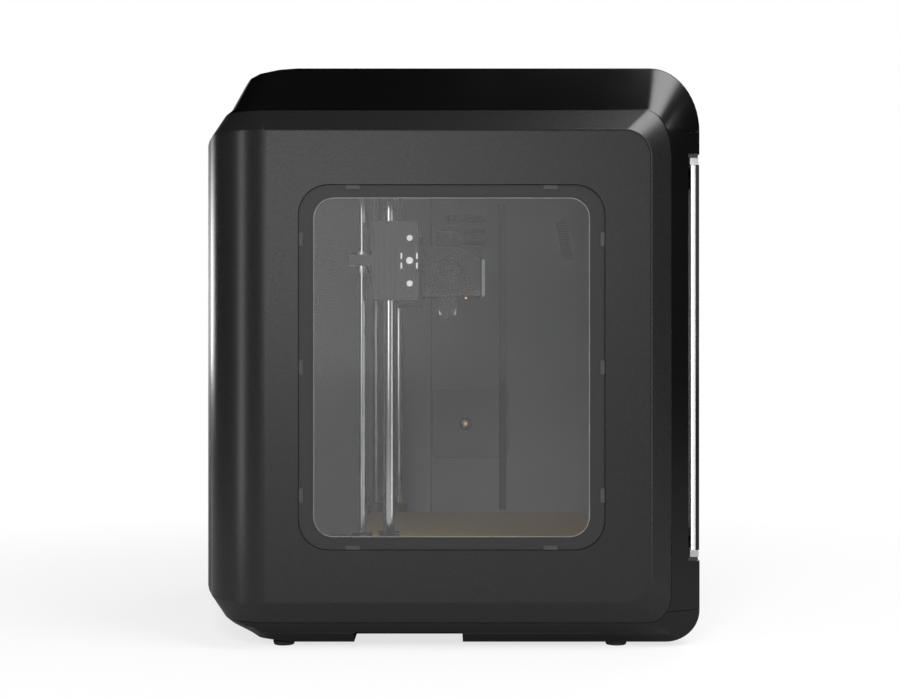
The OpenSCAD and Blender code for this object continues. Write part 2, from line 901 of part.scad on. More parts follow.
module fan_duct() {
    x = [gantry_x - head_half + 1, gantry_x - 12];
    color("#141517")
        difference() {
            along_x(x)
                polygon([[4, head_z[0]], [4, nozzle_z + 12], [-1, nozzle_z + 2],
                    [-11, nozzle_z + 2], [-14.5, nozzle_z + 12], [-14.5, head_z[0]]]);
            along_x([x[0] + 2, x[1] + 1])
                polygon([[2, head_z[0] - 2], [2, nozzle_z + 13], [-2.5, nozzle_z + 4],
                    [-9.5, nozzle_z + 4], [-12.5, nozzle_z + 13], [-12.5, head_z[0] - 2]]);
        }
}

module connector_box() {
    color("#2a2b2e")
        difference() {
            box([gantry_x - 16, gantry_x + 16], [-16.6, 5.2], [head_z[1], head_z[1] + 16]);
            for (z = [head_z[1] + 3, head_z[1] + 9.5], y = [-13.5, -3.5])
                box([gantry_x - 17, gantry_x - 8], [y, y + 6.5], [z, z + 4]);
            bar_z(2.2, gantry_x + 8, -5.7, [head_z[1] + 6, head_z[1] + 17]);
        }
}

module release_latch() {
    x = gantry_x - head_half;
    color("#3a3c40")
        box([x - 1.5, x + 3], [head_y[0] + 4.5, head_y[0] + 12.5], [head_z[0] + 0.5, head_z[0] + 7]);
}

// ---- Bed and Y axis ----

module bed_carriage() {
    rail = [bed_x - y_rod_x, bed_x + y_rod_x];
    color("#8b8f93")
        difference() {
            union() {
                box([bed_x - 100, bed_x + 100], [bed_y - 100, bed_y + 100], [80, 83]);
                for (x = rail, y = [bed_y - 67, bed_y + 43])
                    box(grow([x, x], rod_bearing_r + 2), [y, y + 24], [y_rod_z - 7, 81]);
                for (x = [-88, 88], y = [-88, 88])
                    bar_z(4, bed_x + x, bed_y + y, [82, sheet_z - 1 - plate_t]);
            }
            for (x = rail)
                bar_y(rod_d / 2 + run, x, [bed_y - 101, bed_y + 101], y_rod_z);
        }
}

module heated_plate() {
    color("#55585c")
        soft_z(grow([bed_x, bed_x], bed_w / 2), grow([bed_y, bed_y], bed_d / 2),
            [sheet_z - 1 - plate_t, sheet_z], 4);
}

module print_sheet() {
    color("#b08a3c")
        union() {
            soft_z(grow([bed_x, bed_x], bed_w / 2), grow([bed_y, bed_y], bed_d / 2), [sheet_z, bed_top], 4);
            soft_z(grow([bed_x, bed_x], 41), [bed_y - bed_d / 2 - 8, bed_y - bed_d / 2 + 12],
                [sheet_z, bed_top], 4);
        }
}

module y_rods() {
    color("#c9ccd0")
        union() {
            for (x = [bed_x - y_rod_x, bed_x + y_rod_x]) {
                bar_y(rod_d / 2, x, y_rod_y, y_rod_z);
                for (y = [y_rod_y[0] - 1, y_rod_y[1] - 7])
                    box([x - 9, x + 9], [y, y + 8], [deck_z, y_rod_z + 6]);
            }
        }
}

module y_drive() {
    color("#c2c5c8")
        union() {
            bar_z(2.5, bed_x, y_motor_y, [floor_z - 10, y_pulley_z + 5]);
            bar_z(pulley_r, bed_x, y_motor_y, grow([y_pulley_z, y_pulley_z], belt_w / 2 + 0.4));
            for (z = [y_pulley_z - belt_w / 2 - 1.4, y_pulley_z + belt_w / 2 + 0.4])
                bar_z(pulley_r + 1.4, bed_x, y_motor_y, [z, z + 1]);
        }
}

module y_idler() {
    color("#c2c5c8")
        union() {
            bar_z(2.5, bed_x, y_idler_y, [floor_z + 0.5, y_pulley_z + 5]);
            bar_z(pulley_r, bed_x, y_idler_y, grow([y_pulley_z, y_pulley_z], belt_w / 2 + 0.4));
            for (z = [y_pulley_z - belt_w / 2 - 1.4, y_pulley_z + belt_w / 2 + 0.4])
                bar_z(pulley_r + 1.4, bed_x, y_idler_y, [z, z + 1]);
        }
}

module y_belt() {
    color("#101010")
        translate([bed_x, 0, y_pulley_z - belt_w / 2])
            rotate([0, 0, 90])
                linear_extrude(belt_w)
                    belt_loop(y_idler_y, y_motor_y);
}

// ---- Door ----

module door_outline(y) {
    difference() {
        soft_y([door_left, door_right], y, door_z, 6);
        for (z = [door_z[0] - 1, door_z[1] - notch_h])
            box([door_left - 1, door_left + notch_w], grow(y, 1), [z, z + notch_h + 1]);
    }
}

module door_face() {
    glass_x = [door_left + 24, door_right - 30];
    color("#08080a")
        difference() {
            door_outline([door_front, door_front + face_t]);
            soft_y(glass_x, [-body_d, door_back], grow(door_z, -26), 14);
            soft_y([door_right - 20, door_right - 6], [-body_d, door_front + 2], [236, 306], 5);
        }
}

module door_pane() {
    color("#6c7074", 0.4)
        door_outline([door_back - pane_t, door_back]);
}

module door_hinge_caps() {
    low = door_z[0] + notch_h;
    high = door_z[1] - notch_h;
    color("#c8cacc")
        union() {
            box(cap_x, cap_y, [low - cap_z, low]);
            box(cap_x, cap_y, [high, high + cap_z]);
            bar_z(pin_r, hinge_x, hinge_y, [slot_z[0] + 0.3, low - 1]);
            bar_z(pin_r, hinge_x, hinge_y, [high + 1, slot_z[1] - 0.3]);
        }
}

// Ears in the door slot that hold the hinge pins.
module door_brackets() {
    thick = notch_h + 1.3 - cap_z - 0.3;
    color("#8d9094")
        difference() {
            for (z = [slot_z[0], slot_z[1] - thick])
                box([hinge_x - 3.5, hinge_x + 12], [hinge_y - 3.5, slot_y], [z, z + thick]);
            bar_z(pin_r + run, hinge_x, hinge_y, grow(slot_z, 1));
        }
}

module touch_screen() {
    color("#050507")
        union() {
            soft_y(grow(screen_x, -0.3), [front_y + 0.5, front_y + wall + 1], grow(screen_z, -0.3), 4.7);
            box(grow(screen_x, 2), [front_y + wall, front_y + 12], grow(screen_z, 2));
        }
}

// ---- Spool bay ----

module spool_bay_door() {
    y = grow(bay_y, -bay_gap);
    z = grow(bay_z, -bay_gap);
    x = [side_x - bay_plate_t, side_x];
    color("#303134")
        difference() {
            union() {
                box(x, y, z);
                bar_z(bay_pin_r, bay_hinge_x, bay_hinge_y, grow(bay_z, 4));
            }
            // Slot to see the filament left, and a scoop for a finger.
            soft_x([inner_x - 3, body_w], [spool_y - 50, spool_y - 36], [spool_z - 80, spool_z + 80], 6.9);
            soft_x([side_x - 2, body_w], [y[0] - 1, y[0] + 12], [spool_z - 22, spool_z + 22], 5);
        }
}

module spool() {
    color("#3d3f42")
        difference() {
            union() {
                bar_x(38, spool_x, spool_y, spool_z);
                for (x = [spool_x[0], spool_x[1] - 3])
                    bar_x(spool_d / 2, [x, x + 3], spool_y, spool_z);
            }
            bar_x(hub_r + 0.3, grow(spool_x, 1), spool_y, spool_z);
            for (i = [0:5])
                translate([0, spool_y, spool_z])
                    rotate([60 * i, 0, 0])
                        bar_x(14, grow(spool_x, 1), 0, 68);
        }
}

module filament() {
    color("#d9dadb")
        difference() {
            bar_x(88, [spool_x[0] + 3, spool_x[1] - 3], spool_y, spool_z);
            bar_x(38, spool_x, spool_y, spool_z);
        }
}

module spool_hub() {
    x0 = partition_x + sheet_t;
    color("#27282a")
        difference() {
            union() {
                bar_x(34, [x0, x0 + 4], spool_y, spool_z);
                bar_x(hub_r, [x0, spool_x[1] + 4], spool_y, spool_z);
            }
            bar_x(hub_r - 3, [x0 + 4, body_w], spool_y, spool_z);
        }
}

// ---- Small fittings ----

module on_partition(y, z, t, r) {
    soft_x([partition_x - t, partition_x], y, z, r);
}

// Lens cover with its pull tab, the lens, the lamp bar and the exhaust fan with its filter.
module chamber_fittings() {
    lens = [-26.4, 191.3];
    color("#34363a")
        union() {
            difference() {
                union() {
                    on_partition([-76.5, 11.7], [152.2, 229.8], 2.5, 7);
                    box([partition_x - 3.2, partition_x - 2.4], [-82.4, -74.1], [184, 198]);
                    box([partition_x - 3.2, partition_x], [-82.4, -79.9], [184, 198]);
                }
                bar_x(7.5, [0, partition_x - 0.8], lens[0], lens[1]);
            }
            bar_x(5, [partition_x - 2.2, partition_x], lens[0], lens[1]);
            translate([partition_x - 10, -142.9, 405])
                rotate([-10, 0, 0])
                    box([0, 10], [-5.5, 5.5], [-24, 24]);
            difference() {
                box([vent_x - 42, vent_x + 42], [rear_wall_y - 6, rear_wall_y], [vent_z - 42, vent_z + 42]);
                for (i = [0:8])
                    box([vent_x - 37 + 9 * i, vent_x - 33 + 9 * i], [rear_wall_y - 7, rear_wall_y - 2],
                        [vent_z - 36, vent_z + 36]);
            }
        }
}

module power_module() {
    mid = pocket_mid;
    color("#0d0d0f")
        difference() {
            union() {
                box([mid - 11.2, mid + 11.2], [pocket_y, pocket_y + 2], [74, 124]);
                box([mid - 10, mid + 10], [pocket_y - 24, pocket_y + 1], [85, 113]);
                box([mid - 9, mid + 9], [pocket_y, pocket_y + 1.5], [128, 151]);
                box([mid - 7, mid + 7], [pocket_y - 18, pocket_y + 1], [130.5, 148.5]);
            }
            box([mid - 7.5, mid + 7.5], [pocket_y - 14, pocket_y + 3], [87.5, 110.5]);
            box([mid - 5.5, mid + 5.5], [pocket_y - 10, pocket_y + 3], [132, 147]);
            bar_x(rocker_pin_r + run, [mid - 6.3, mid + 6.3], pocket_y, rocker_z);
        }
}

module power_rocker() {
    color("#111113")
        union() {
            along_x([pocket_mid - 5.2, pocket_mid + 5.2])
                polygon([[pocket_y - 4, 136], [pocket_y - 4, 143], [pocket_y + 1, 145.6],
                    [pocket_y + 3.4, 145.2], [pocket_y + 1.6, 139.5], [pocket_y + 1, 133.4]]);
            bar_x(rocker_pin_r, [pocket_mid - 6.2, pocket_mid + 6.2], pocket_y, rocker_z);
        }
}

base_cover();
front_bezel();
top_cover();
left_side_panel();
right_side_panel();
rear_panel();
top_lid();
window_frame();
window_pane();
window_clips();
feet();
chassis_frame();
chassis_floor();
chamber_rear_wall();
partition_wall();
electronics();
z_rods();
z_rod_sockets();
base_motors();
lead_screw(left_x);  // left_lead_screw
lead_screw(right_x);  // right_lead_screw
coupler(left_x);  // left_coupler
coupler(right_x);  // right_coupler
left_x_end();
right_x_end();
z_bearings();
screw_nuts();
x_rods();
x_motor();
x_drive_pulley();
x_idler();
x_belt();
belt_tensioner();
carriage();
toolhead_cover();
front_heatsink_plate();
fan_impeller();
hotend();
fan_duct();
connector_box();
release_latch();
bed_carriage();
heated_plate();
print_sheet();
y_rods();
y_drive();
y_idler();
y_belt();
door_face();
door_pane();
door_hinge_caps();
door_brackets();
touch_screen();
spool_bay_door();
spool();
filament();
spool_hub();
chamber_fittings();
power_module();
power_rocker();
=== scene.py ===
# %% [markdown]
# # An enclosed filament printer
# The functional model is already made: it holds every body, joint and fit of the printer.
# This lesson dresses it. Shells that must flow smoothly are modelled again in Blender, in the same
# place, and every part gets a finish of its own: moulded plastic, ground steel, clear acrylic.

# %% Load the fixed frame
import bmesh
import bpy
import json
import math
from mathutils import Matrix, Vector

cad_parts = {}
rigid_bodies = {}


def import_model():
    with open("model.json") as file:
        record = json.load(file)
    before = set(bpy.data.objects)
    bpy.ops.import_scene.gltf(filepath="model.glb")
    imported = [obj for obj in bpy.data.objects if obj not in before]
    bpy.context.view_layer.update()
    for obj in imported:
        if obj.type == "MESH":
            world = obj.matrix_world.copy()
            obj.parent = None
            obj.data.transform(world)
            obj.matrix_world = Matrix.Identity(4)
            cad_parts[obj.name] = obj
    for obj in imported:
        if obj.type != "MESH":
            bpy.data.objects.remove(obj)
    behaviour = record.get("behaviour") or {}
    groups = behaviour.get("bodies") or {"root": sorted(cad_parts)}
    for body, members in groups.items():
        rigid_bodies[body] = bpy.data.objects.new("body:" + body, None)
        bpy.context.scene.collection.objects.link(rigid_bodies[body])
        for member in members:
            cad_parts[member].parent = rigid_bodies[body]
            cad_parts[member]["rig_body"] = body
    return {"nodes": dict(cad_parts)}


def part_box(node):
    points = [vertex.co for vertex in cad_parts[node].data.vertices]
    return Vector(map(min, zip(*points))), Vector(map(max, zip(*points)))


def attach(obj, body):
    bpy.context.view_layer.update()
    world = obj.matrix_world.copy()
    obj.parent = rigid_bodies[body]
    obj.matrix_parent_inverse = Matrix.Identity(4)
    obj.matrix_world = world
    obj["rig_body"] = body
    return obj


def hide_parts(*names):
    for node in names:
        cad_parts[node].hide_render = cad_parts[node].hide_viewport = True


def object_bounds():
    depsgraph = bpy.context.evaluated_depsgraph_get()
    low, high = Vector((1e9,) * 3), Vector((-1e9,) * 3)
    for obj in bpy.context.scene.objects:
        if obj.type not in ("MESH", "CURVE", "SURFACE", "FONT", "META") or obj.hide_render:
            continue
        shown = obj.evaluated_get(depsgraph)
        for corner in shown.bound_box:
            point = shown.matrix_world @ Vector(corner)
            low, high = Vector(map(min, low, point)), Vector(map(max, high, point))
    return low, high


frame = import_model()
cad_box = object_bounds()
MM = 0.001
FULL_TURN = 2 * math.pi
print("box in mm:", [round(v / MM, 1) for corner in cad_box for v in corner])

# %% [markdown]
# ## The sizes that everything else follows
# A printer's casing is drawn from a few numbers: its outer box, and how far each tier of the side
# steps inwards. The box is measured from the frame, so the shells land where the frame says.

# %% Driving sizes of the casing
HALF_W = cad_box[1].x
FRONT = cad_box[0].y
BACK = cad_box[1].y
TOP = cad_box[1].z
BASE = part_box("feet")[1].z
WALL = 3 * MM
SEAM = 0.5 * MM
TIER_X = [HALF_W, HALF_W - 13 * MM, HALF_W - 30 * MM]
TIER_FRONT = [FRONT + 49.3 * MM, FRONT + 29 * MM, FRONT]
TIER_LOW = [BASE + 41 * MM, BASE + 21 * MM, BASE]
TIER_HIGH = [TOP - 62 * MM, TOP - 42 * MM, TOP]
# Each tier's corner radii along Y and Z, at the top and at the bottom.
TOP_ROUND = [(24 * MM, 26 * MM), (24 * MM, 45 * MM), (47 * MM, 60 * MM)]
LOW_ROUND = [(25 * MM, 25 * MM), (21 * MM, 28 * MM), (32 * MM, 30 * MM)]
BACK_CORNER = 60 * MM
CROWN = 830 * MM
# The back's layers: mm in from the back and the sides, up from the base and down from the top.
BACK_LAYERS = [
    (72, 29, 0, 0), (56, 29, 1, 1.3), (42, 27, 3.5, 4.4), (35, 25, 8, 8),
    (19, 13, 16.5, 37.4), (13, 13, 21, 42), (0, 0, 41, 62)]
ARC_STEPS = 14
print("tiers in mm:", [round(x / MM, 1) for x in TIER_X])

# %% [markdown]
# ## The camera
# The printer is seen square on from its left side, from nearly two metres away and a little above
# its middle. A long lens keeps the far edges almost parallel to the near ones.

# %% Camera
camera_data = bpy.data.cameras.new("camera")
camera_data.sensor_width = 36
camera_data.lens = 62.6
camera_data.clip_start = 0.05
camera_data.clip_end = 50
camera = bpy.data.objects.new("camera", camera_data)
camera.location = (-1690 * MM, -8.3 * MM, 279.2 * MM)
camera.rotation_euler = (math.radians(90), 0, math.radians(-90))
bpy.context.scene.collection.objects.link(camera)
bpy.context.scene.camera = camera
print("camera at", [round(v, 3) for v in camera.location])

# %% [markdown]
# ## Shader maths as Python
# A finish is a small network of nodes. Wrapping a socket in a class with Python's operators lets a
# network be read as a formula, and one method makes every other node.

# %% A socket that can be added and multiplied
class Wire:
    def __init__(self, tree, socket):
        self.tree = tree
        self.socket = socket

    def math(self, operation, first, second):
        return add_node(self.tree, "ShaderNodeMath", {"operation": operation}, {0: first, 1: second})

    def __add__(self, other):
        return self.math("ADD", self, other)

    def __radd__(self, other):
        return self.math("ADD", other, self)

    def __sub__(self, other):
        return self.math("SUBTRACT", self, other)

    def __rsub__(self, other):
        return self.math("SUBTRACT", other, self)

    def __mul__(self, other):
        return self.math("MULTIPLY", self, other)

    def __rmul__(self, other):
        return self.math("MULTIPLY", other, self)

    def __truediv__(self, other):
        return self.math("DIVIDE", self, other)

    def __pow__(self, other):
        return self.math("POWER", self, other)

    def above(self, other):
        return self.math("GREATER_THAN", self, other)

    def wave(self):
        return self.math("SINE", self, 0)

    def clamp(self, low, high):
        return self.math("MINIMUM", self.math("MAXIMUM", self, low), high)

    def size(self):
        return self.math("ABSOLUTE", self, 0)

    def fades_at(self, limit, slope):
        """1 well below a limit, 0 above it."""
        return ((limit - self) * slope).clamp(0, 1)

    def rises_at(self, limit, slope):
        """0 below a limit, 1 well above it."""
        return ((self - limit) * slope).clamp(0, 1)


def add_node(tree, kind, settings=None, sockets=None, output=0):
    """Makes one node: its settings first, then the values or links of its sockets."""
    node = tree.nodes.new(kind)
    for name, value in (settings or {}).items():
        setattr(node, name, value)
    for name, value in (sockets or {}).items():
        if isinstance(value, Wire):
            tree.links.new(value.socket, node.inputs[name])
        else:
            node.inputs[name].default_value = value
    return Wire(tree, node.outputs[output])


# %% A finish: one material with its Principled shader and a few pattern helpers
class Finish:
    def __init__(self, name, color, roughness, metallic=0.0):
        self.material = bpy.data.materials.new(name)
        self.material.use_nodes = True
        self.tree = self.material.node_tree
        self.tree.nodes.clear()
        self.shader = self.tree.nodes.new("ShaderNodeBsdfPrincipled")
        self.out = self.tree.nodes.new("ShaderNodeOutputMaterial")
        self.tree.links.new(self.shader.outputs[0], self.out.inputs["Surface"])
        self.set("Base Color", (*color, 1))
        self.set("Roughness", roughness)
        self.set("Metallic", metallic)
        self.material.diffuse_color = (*color, 1)
        self.place = self.node("ShaderNodeTexCoord", output="Object")

    def node(self, kind, settings=None, sockets=None, output=0):
        return add_node(self.tree, kind, settings, sockets, output)

    def set(self, name, value):
        if isinstance(value, Wire):
            self.tree.links.new(value.socket, self.shader.inputs[name])
        else:
            self.shader.inputs[name].default_value = value

    def axis(self, letter):
        return self.node("ShaderNodeSeparateXYZ", sockets={0: self.place}, output=letter)

    def stretched(self, scale):
        return self.node("ShaderNodeMapping", sockets={"Vector": self.place, "Scale": scale})

    def noise(self, scale, detail=2.0, where=None):
        """Soft noise from 0 to 1, where scale counts its features in a metre."""
        sockets = {"Vector": where or self.place, "Scale": scale, "Detail": detail}
        return self.node("ShaderNodeTexNoise", sockets=sockets)

    def cells(self, scale):
        return self.node("ShaderNodeTexVoronoi", sockets={"Vector": self.place, "Scale": scale})

    def blend(self, mask, first, second):
        """A colour between two, by a mask from 0 to 1."""
        sockets = {0: mask, 6: (*first, 1), 7: (*second, 1)}
        return self.node("ShaderNodeMix", {"data_type": "RGBA"}, sockets, output=2)

    def bump(self, height, depth, strength=1.0):
        sockets = {"Height": height, "Distance": depth, "Strength": strength}
        self.set("Normal", self.node("ShaderNodeBump", sockets=sockets))


print("the shader kit is ready")

# %% [markdown]
# ## Light, backdrop and floor
# A product studio has soft boxes, a pale floor and a white backdrop. A glossy black casing shows
# little but the room round it, so reflections get a room of their own. Its ceiling is dark, which
# keeps the sloping top black. A card behind the camera lays a soft grey over the flat side. The
# white backdrop shows only in corners that turn away from the camera, most of all at the horizon.

# %% World: white to the camera, a drawn room to reflections
CARD_HALF = 0.27
CARD_HEIGHT = 0.38
BACKDROP_FROM = 2.35
HORIZON_HEIGHT = 0.13
ROOM_LIGHT = 0.24
DARKEST = 0.04
world = bpy.data.worlds.new("studio")
world.use_nodes = True
bpy.context.scene.world = world
studio = world.node_tree
studio.nodes.clear()


def look(letter):
    """One part of the direction that a ray leaves in."""
    direction = add_node(studio, "ShaderNodeTexCoord", output="Generated")
    return add_node(studio, "ShaderNodeSeparateXYZ", sockets={0: direction}, output=letter)


def ray_is(kind):
    return add_node(studio, "ShaderNodeLightPath", output=f"Is {kind} Ray")


height = look("Z")
from_camera = height.math("ARCTAN2", look("Y"), look("X") * -1)
turn = from_camera.size()
card = ((2.5 + from_camera * 13).clamp(0.8, 4.2) * turn.fades_at(CARD_HALF, 12)
        * height.size().fades_at(CARD_HEIGHT, 8))
horizon = height.size().fades_at(HORIZON_HEIGHT, 14)
behind = turn.rises_at(BACKDROP_FROM, 8) * (0.5 + horizon * 3.0)
ceiling = (1.25 - height * 3.2).clamp(0, 1)
reflected = (behind + card + DARKEST) * ceiling
straight = (ray_is("Camera") + ray_is("Transmission")).clamp(0, 1)
is_glossy = ray_is("Glossy")
lit = is_glossy * reflected + (1 - is_glossy) * ROOM_LIGHT
strength = straight + (1 - straight) * lit
sky = add_node(studio, "ShaderNodeBackground", sockets={"Color": (1, 1, 1, 1), "Strength": strength})
world_out = studio.nodes.new("ShaderNodeOutputWorld")
studio.links.new(sky.socket, world_out.inputs["Surface"])

# %% Floor: white to the camera but for a soft shadow, and darker in reflections
FLOOR_COLOR = (0.86, 0.86, 0.86)
FLOOR_MIRRORED = (0.36, 0.36, 0.36)
floor_z = cad_box[0].z - 0.2 * MM
bpy.ops.object.select_all(action="DESELECT")
bpy.ops.mesh.primitive_plane_add(size=30, location=(0, 0, floor_z))
floor = bpy.context.object
floor.name = "studio_floor"
pale = Finish("studio_floor", FLOOR_COLOR, 0.7)
in_gloss = pale.node("ShaderNodeLightPath", output="Is Glossy Ray")
pale.set("Base Color", pale.blend(in_gloss, FLOOR_COLOR, FLOOR_MIRRORED))
glow = pale.node("ShaderNodeEmission", sockets={"Color": (1, 1, 1, 1), "Strength": 1.0})
seen = pale.node("ShaderNodeLightPath", output="Is Camera Ray")
far_x, far_y = pale.axis("X"), pale.axis("Y")
distance = (far_x * far_x + far_y * far_y) ** 0.5
glow_share = (distance * 0.35 + 0.64).clamp(0.74, 1)
plain = Wire(pale.tree, pale.shader.outputs[0])
shown = pale.node("ShaderNodeMixShader", sockets={0: seen * glow_share, 1: plain, 2: glow})
pale.tree.links.new(shown.socket, pale.out.inputs["Surface"])
floor.data.materials.append(pale.material)


# %% [markdown]
# Lamps of different sizes light the printer. The one in front of the door, high on the camera's
# side, gives the glossy corners their white flash, and two upright strips draw the bright lines on
# the corners and rods. The lamps for the back and the chamber are kept out of reflections, so they
# leave no glare on the flat side.

# %% Soft boxes and strips
def soft_box(name, where, aim, size, power, mirrored=True):
    data = bpy.data.lights.new(name, "AREA")
    data.shape = "RECTANGLE"
    data.size, data.size_y = size
    data.energy = power
    lamp = bpy.data.objects.new(name, data)
    lamp.location = where
    lamp.rotation_euler = (Vector(aim) - Vector(where)).to_track_quat("-Z", "Y").to_euler()
    lamp.visible_glossy = mirrored
    bpy.context.scene.collection.objects.link(lamp)


middle = (0, 0, 0.28)
STRIP_HEIGHT = 0.42
STRIP_AIM = (-0.19, 0.06, STRIP_HEIGHT)
soft_box("front_box", (-1.0, -1.05, 2.05), middle, (1.1, 1.1), 30)
soft_box("rear_box", (-1.05, 1.6, 0.8), middle, (0.5, 0.9), 9, mirrored=False)
soft_box("far_box", (1.9, -1.2, 1.3), middle, (1.2, 1.2), 20)
soft_box("chamber_box", (-1.95, 0.25, 1.2), (0, 0, 0.22), (0.6, 0.6), 26, mirrored=False)
for name, y in (("rear_strip", 0.83), ("front_strip", -0.71)):
    soft_box(name, (-0.66, y, STRIP_HEIGHT), STRIP_AIM, (0.11, 0.82), 1.1)
scene = bpy.context.scene
scene.view_settings.view_transform = "Standard"

# %% [markdown]
# ## Modelling helpers
# Everything below is modelled the way it is done by hand: add a primitive, go into edit mode,
# select, extrude or bevel, and finish with modifiers. These helpers keep each of those steps short.

# %% Start clean, add a block, add a rod
def deselect():
    if bpy.context.object and bpy.context.object.mode != "OBJECT":
        bpy.ops.object.mode_set(mode="OBJECT")
    bpy.ops.object.select_all(action="DESELECT")


def focus(piece):
    """Makes a piece the active one and the only one selected."""
    deselect()
    piece.select_set(True)
    bpy.context.view_layer.objects.active = piece


def settle(name):
    """Names the new primitive and puts its place into its mesh."""
    piece = bpy.context.object
    piece.name = name
    piece.data.name = name
    bpy.ops.object.transform_apply(location=True, rotation=True, scale=True)
    return piece


def block(name, low, high):
    deselect()
    low, high = Vector(low), Vector(high)
    bpy.ops.mesh.primitive_cube_add(size=1, location=(low + high) / 2, scale=high - low)
    return settle(name)


def rod(name, radius, start, end, sides=48):
    """A cylinder from one point to another along X, Y or Z."""
    deselect()
    start, end = Vector(start), Vector(end)
    turn = (end - start).to_track_quat("Z", "Y").to_euler()
    bpy.ops.mesh.primitive_cylinder_add(
        vertices=sides, radius=radius, depth=(end - start).length, location=(start + end) / 2, rotation=turn)
    return settle(name)


# %% Select in edit mode by place or direction
def edit(piece, kind="FACE"):
    focus(piece)
    bpy.ops.object.mode_set(mode="EDIT")
    bpy.ops.mesh.select_mode(type=kind)
    bpy.ops.mesh.select_all(action="DESELECT")


def pick_faces(piece, test):
    shape = bmesh.from_edit_mesh(piece.data)
    for face in shape.faces:
        face.select_set(test(face.calc_center_median(), face.normal))
    bmesh.update_edit_mesh(piece.data)


def pick_edges(piece, test):
    shape = bmesh.from_edit_mesh(piece.data)
    for edge in shape.edges:
        edge.select_set(test(edge.verts[0].co, edge.verts[1].co))
    bmesh.update_edit_mesh(piece.data)


def pick_all():
    bpy.ops.mesh.select_all(action="SELECT")


def faces_left(centre, normal):
    return normal.x < -0.9


def done():
    bpy.ops.object.mode_set(mode="OBJECT")


def merge_points(gap):
    pick_all()
    bpy.ops.mesh.remove_doubles(threshold=gap)


def face_outwards():
    """Turns all faces outwards and leaves edit mode."""
    pick_all()
    bpy.ops.mesh.normals_make_consistent(inside=False)
    done()


def sink(piece, test, border, depth=0):
    """Insets the faces that pass a test, and pushes the inner ones in by a depth."""
    edit(piece, "FACE")
    pick_faces(piece, test)
    bpy.ops.mesh.inset(thickness=border, depth=-depth)
    done()
    return piece


# %% Round chosen edges, cut with another piece, and finish
def round_edges(piece, axis, radius, segments=6, test=None):
    """Bevels the edges that run along one axis."""
    edit(piece, "EDGE")
    others = [i for i in range(3) if i != axis]

    def runs(a, b):
        straight = all(abs(a[i] - b[i]) < 1e-6 for i in others) and abs(a[axis] - b[axis]) > 1e-6
        return straight and (test is None or test((a + b) / 2))
    pick_edges(piece, runs)
    bpy.ops.mesh.bevel(offset=radius, segments=segments, affect="EDGES")
    done()
    return piece


def soft_block(name, low, high, axis, radius, segments=6):
    return round_edges(block(name, low, high), axis, radius, segments)


def use(piece, kind, **settings):
    """Adds a modifier and applies it at once."""
    focus(piece)
    modifier = piece.modifiers.new(kind.lower(), kind)
    for name, value in settings.items():
        setattr(modifier, name, value)
    bpy.ops.object.modifier_apply(modifier=modifier.name)
    return piece


def cut(piece, *cutters, how="DIFFERENCE", keep=False):
    for cutter in cutters:
        use(piece, "BOOLEAN", object=cutter, operation=how, solver="EXACT")
        if not keep:
            bpy.data.objects.remove(cutter)
    return piece


def weld(piece, other):
    return cut(piece, other, how="UNION")


def trim(piece, other, keep=False):
    """Leaves only what lies inside the other piece."""
    return cut(piece, other, how="INTERSECT", keep=keep)


def join(name, *parts):
    deselect()
    for part in parts:
        part.select_set(True)
    bpy.context.view_layer.objects.active = parts[0]
    if len(parts) > 1:
        bpy.ops.object.join()
    parts[0].name = name
    parts[0].data.name = name
    return parts[0]


def twin(piece, name, move=(0, 0, 0)):
    """A copy with its own mesh, moved by a step that goes into the mesh."""
    copy = piece.copy()
    copy.data = piece.data.copy()
    copy.name = name
    bpy.context.scene.collection.objects.link(copy)
    focus(copy)
    bpy.ops.transform.translate(value=move)
    bpy.ops.object.transform_apply(location=True, rotation=True, scale=True)
    return copy


def smooth(piece, angle=32, weighted=True):
    focus(piece)
    bpy.ops.object.shade_smooth_by_angle(angle=math.radians(angle))
    if weighted:
        use(piece, "WEIGHTED_NORMAL", keep_sharp=True, weight=50)
    return piece


def soften(piece, width, segments=2, angle=40):
    """Takes the sharpness off every edge, as a mould or a file does."""
    use(piece, "BEVEL", width=width, segments=segments, limit_method="ANGLE",
        angle_limit=math.radians(angle), use_clamp_overlap=True)
    return smooth(piece)


def dress(piece, finish, body, *nodes):
    """Gives a finished piece its material, its body and the frame nodes that it stands for."""
    if not piece.data.materials:
        piece.data.materials.append(finish.material)
    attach(piece, body)
    if nodes:
        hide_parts(*nodes)
    return piece


def row(first, pitch, count):
    """Evenly spaced places, from millimetres."""
    return [(first + pitch * i) * MM for i in range(count)]


print("modelling helpers are ready")

# %% [markdown]
# ## Lofting an outline
# The side of the casing steps outwards in three tiers with rounded corners of different radii. A
# stack of cubes cannot give that. Instead each tier's outline is traced by extruding one vertex
# along it, and the outlines are bridged to each other, which makes clean quads all round.

# %% Trace outlines and bridge them
def trace(name, points):
    deselect()
    bpy.ops.mesh.primitive_plane_add(size=MM, location=points[0])
    ring = settle(name)
    bpy.ops.object.mode_set(mode="EDIT")
    bpy.ops.mesh.select_mode(type="VERT")
    pick_all()
    bpy.ops.mesh.merge(type="CENTER")
    for here, there in zip(points, points[1:]):
        step = [b - a for a, b in zip(here, there)]
        bpy.ops.mesh.extrude_region_move(TRANSFORM_OT_translate={"value": step})
    pick_all()
    bpy.ops.mesh.edge_face_add()
    done()
    return ring


def keep_outline():
    """Deletes the faces and leaves their edges, with points ready to be selected."""
    pick_all()
    bpy.ops.mesh.delete(type="ONLY_FACE")
    bpy.ops.mesh.select_mode(type="VERT")


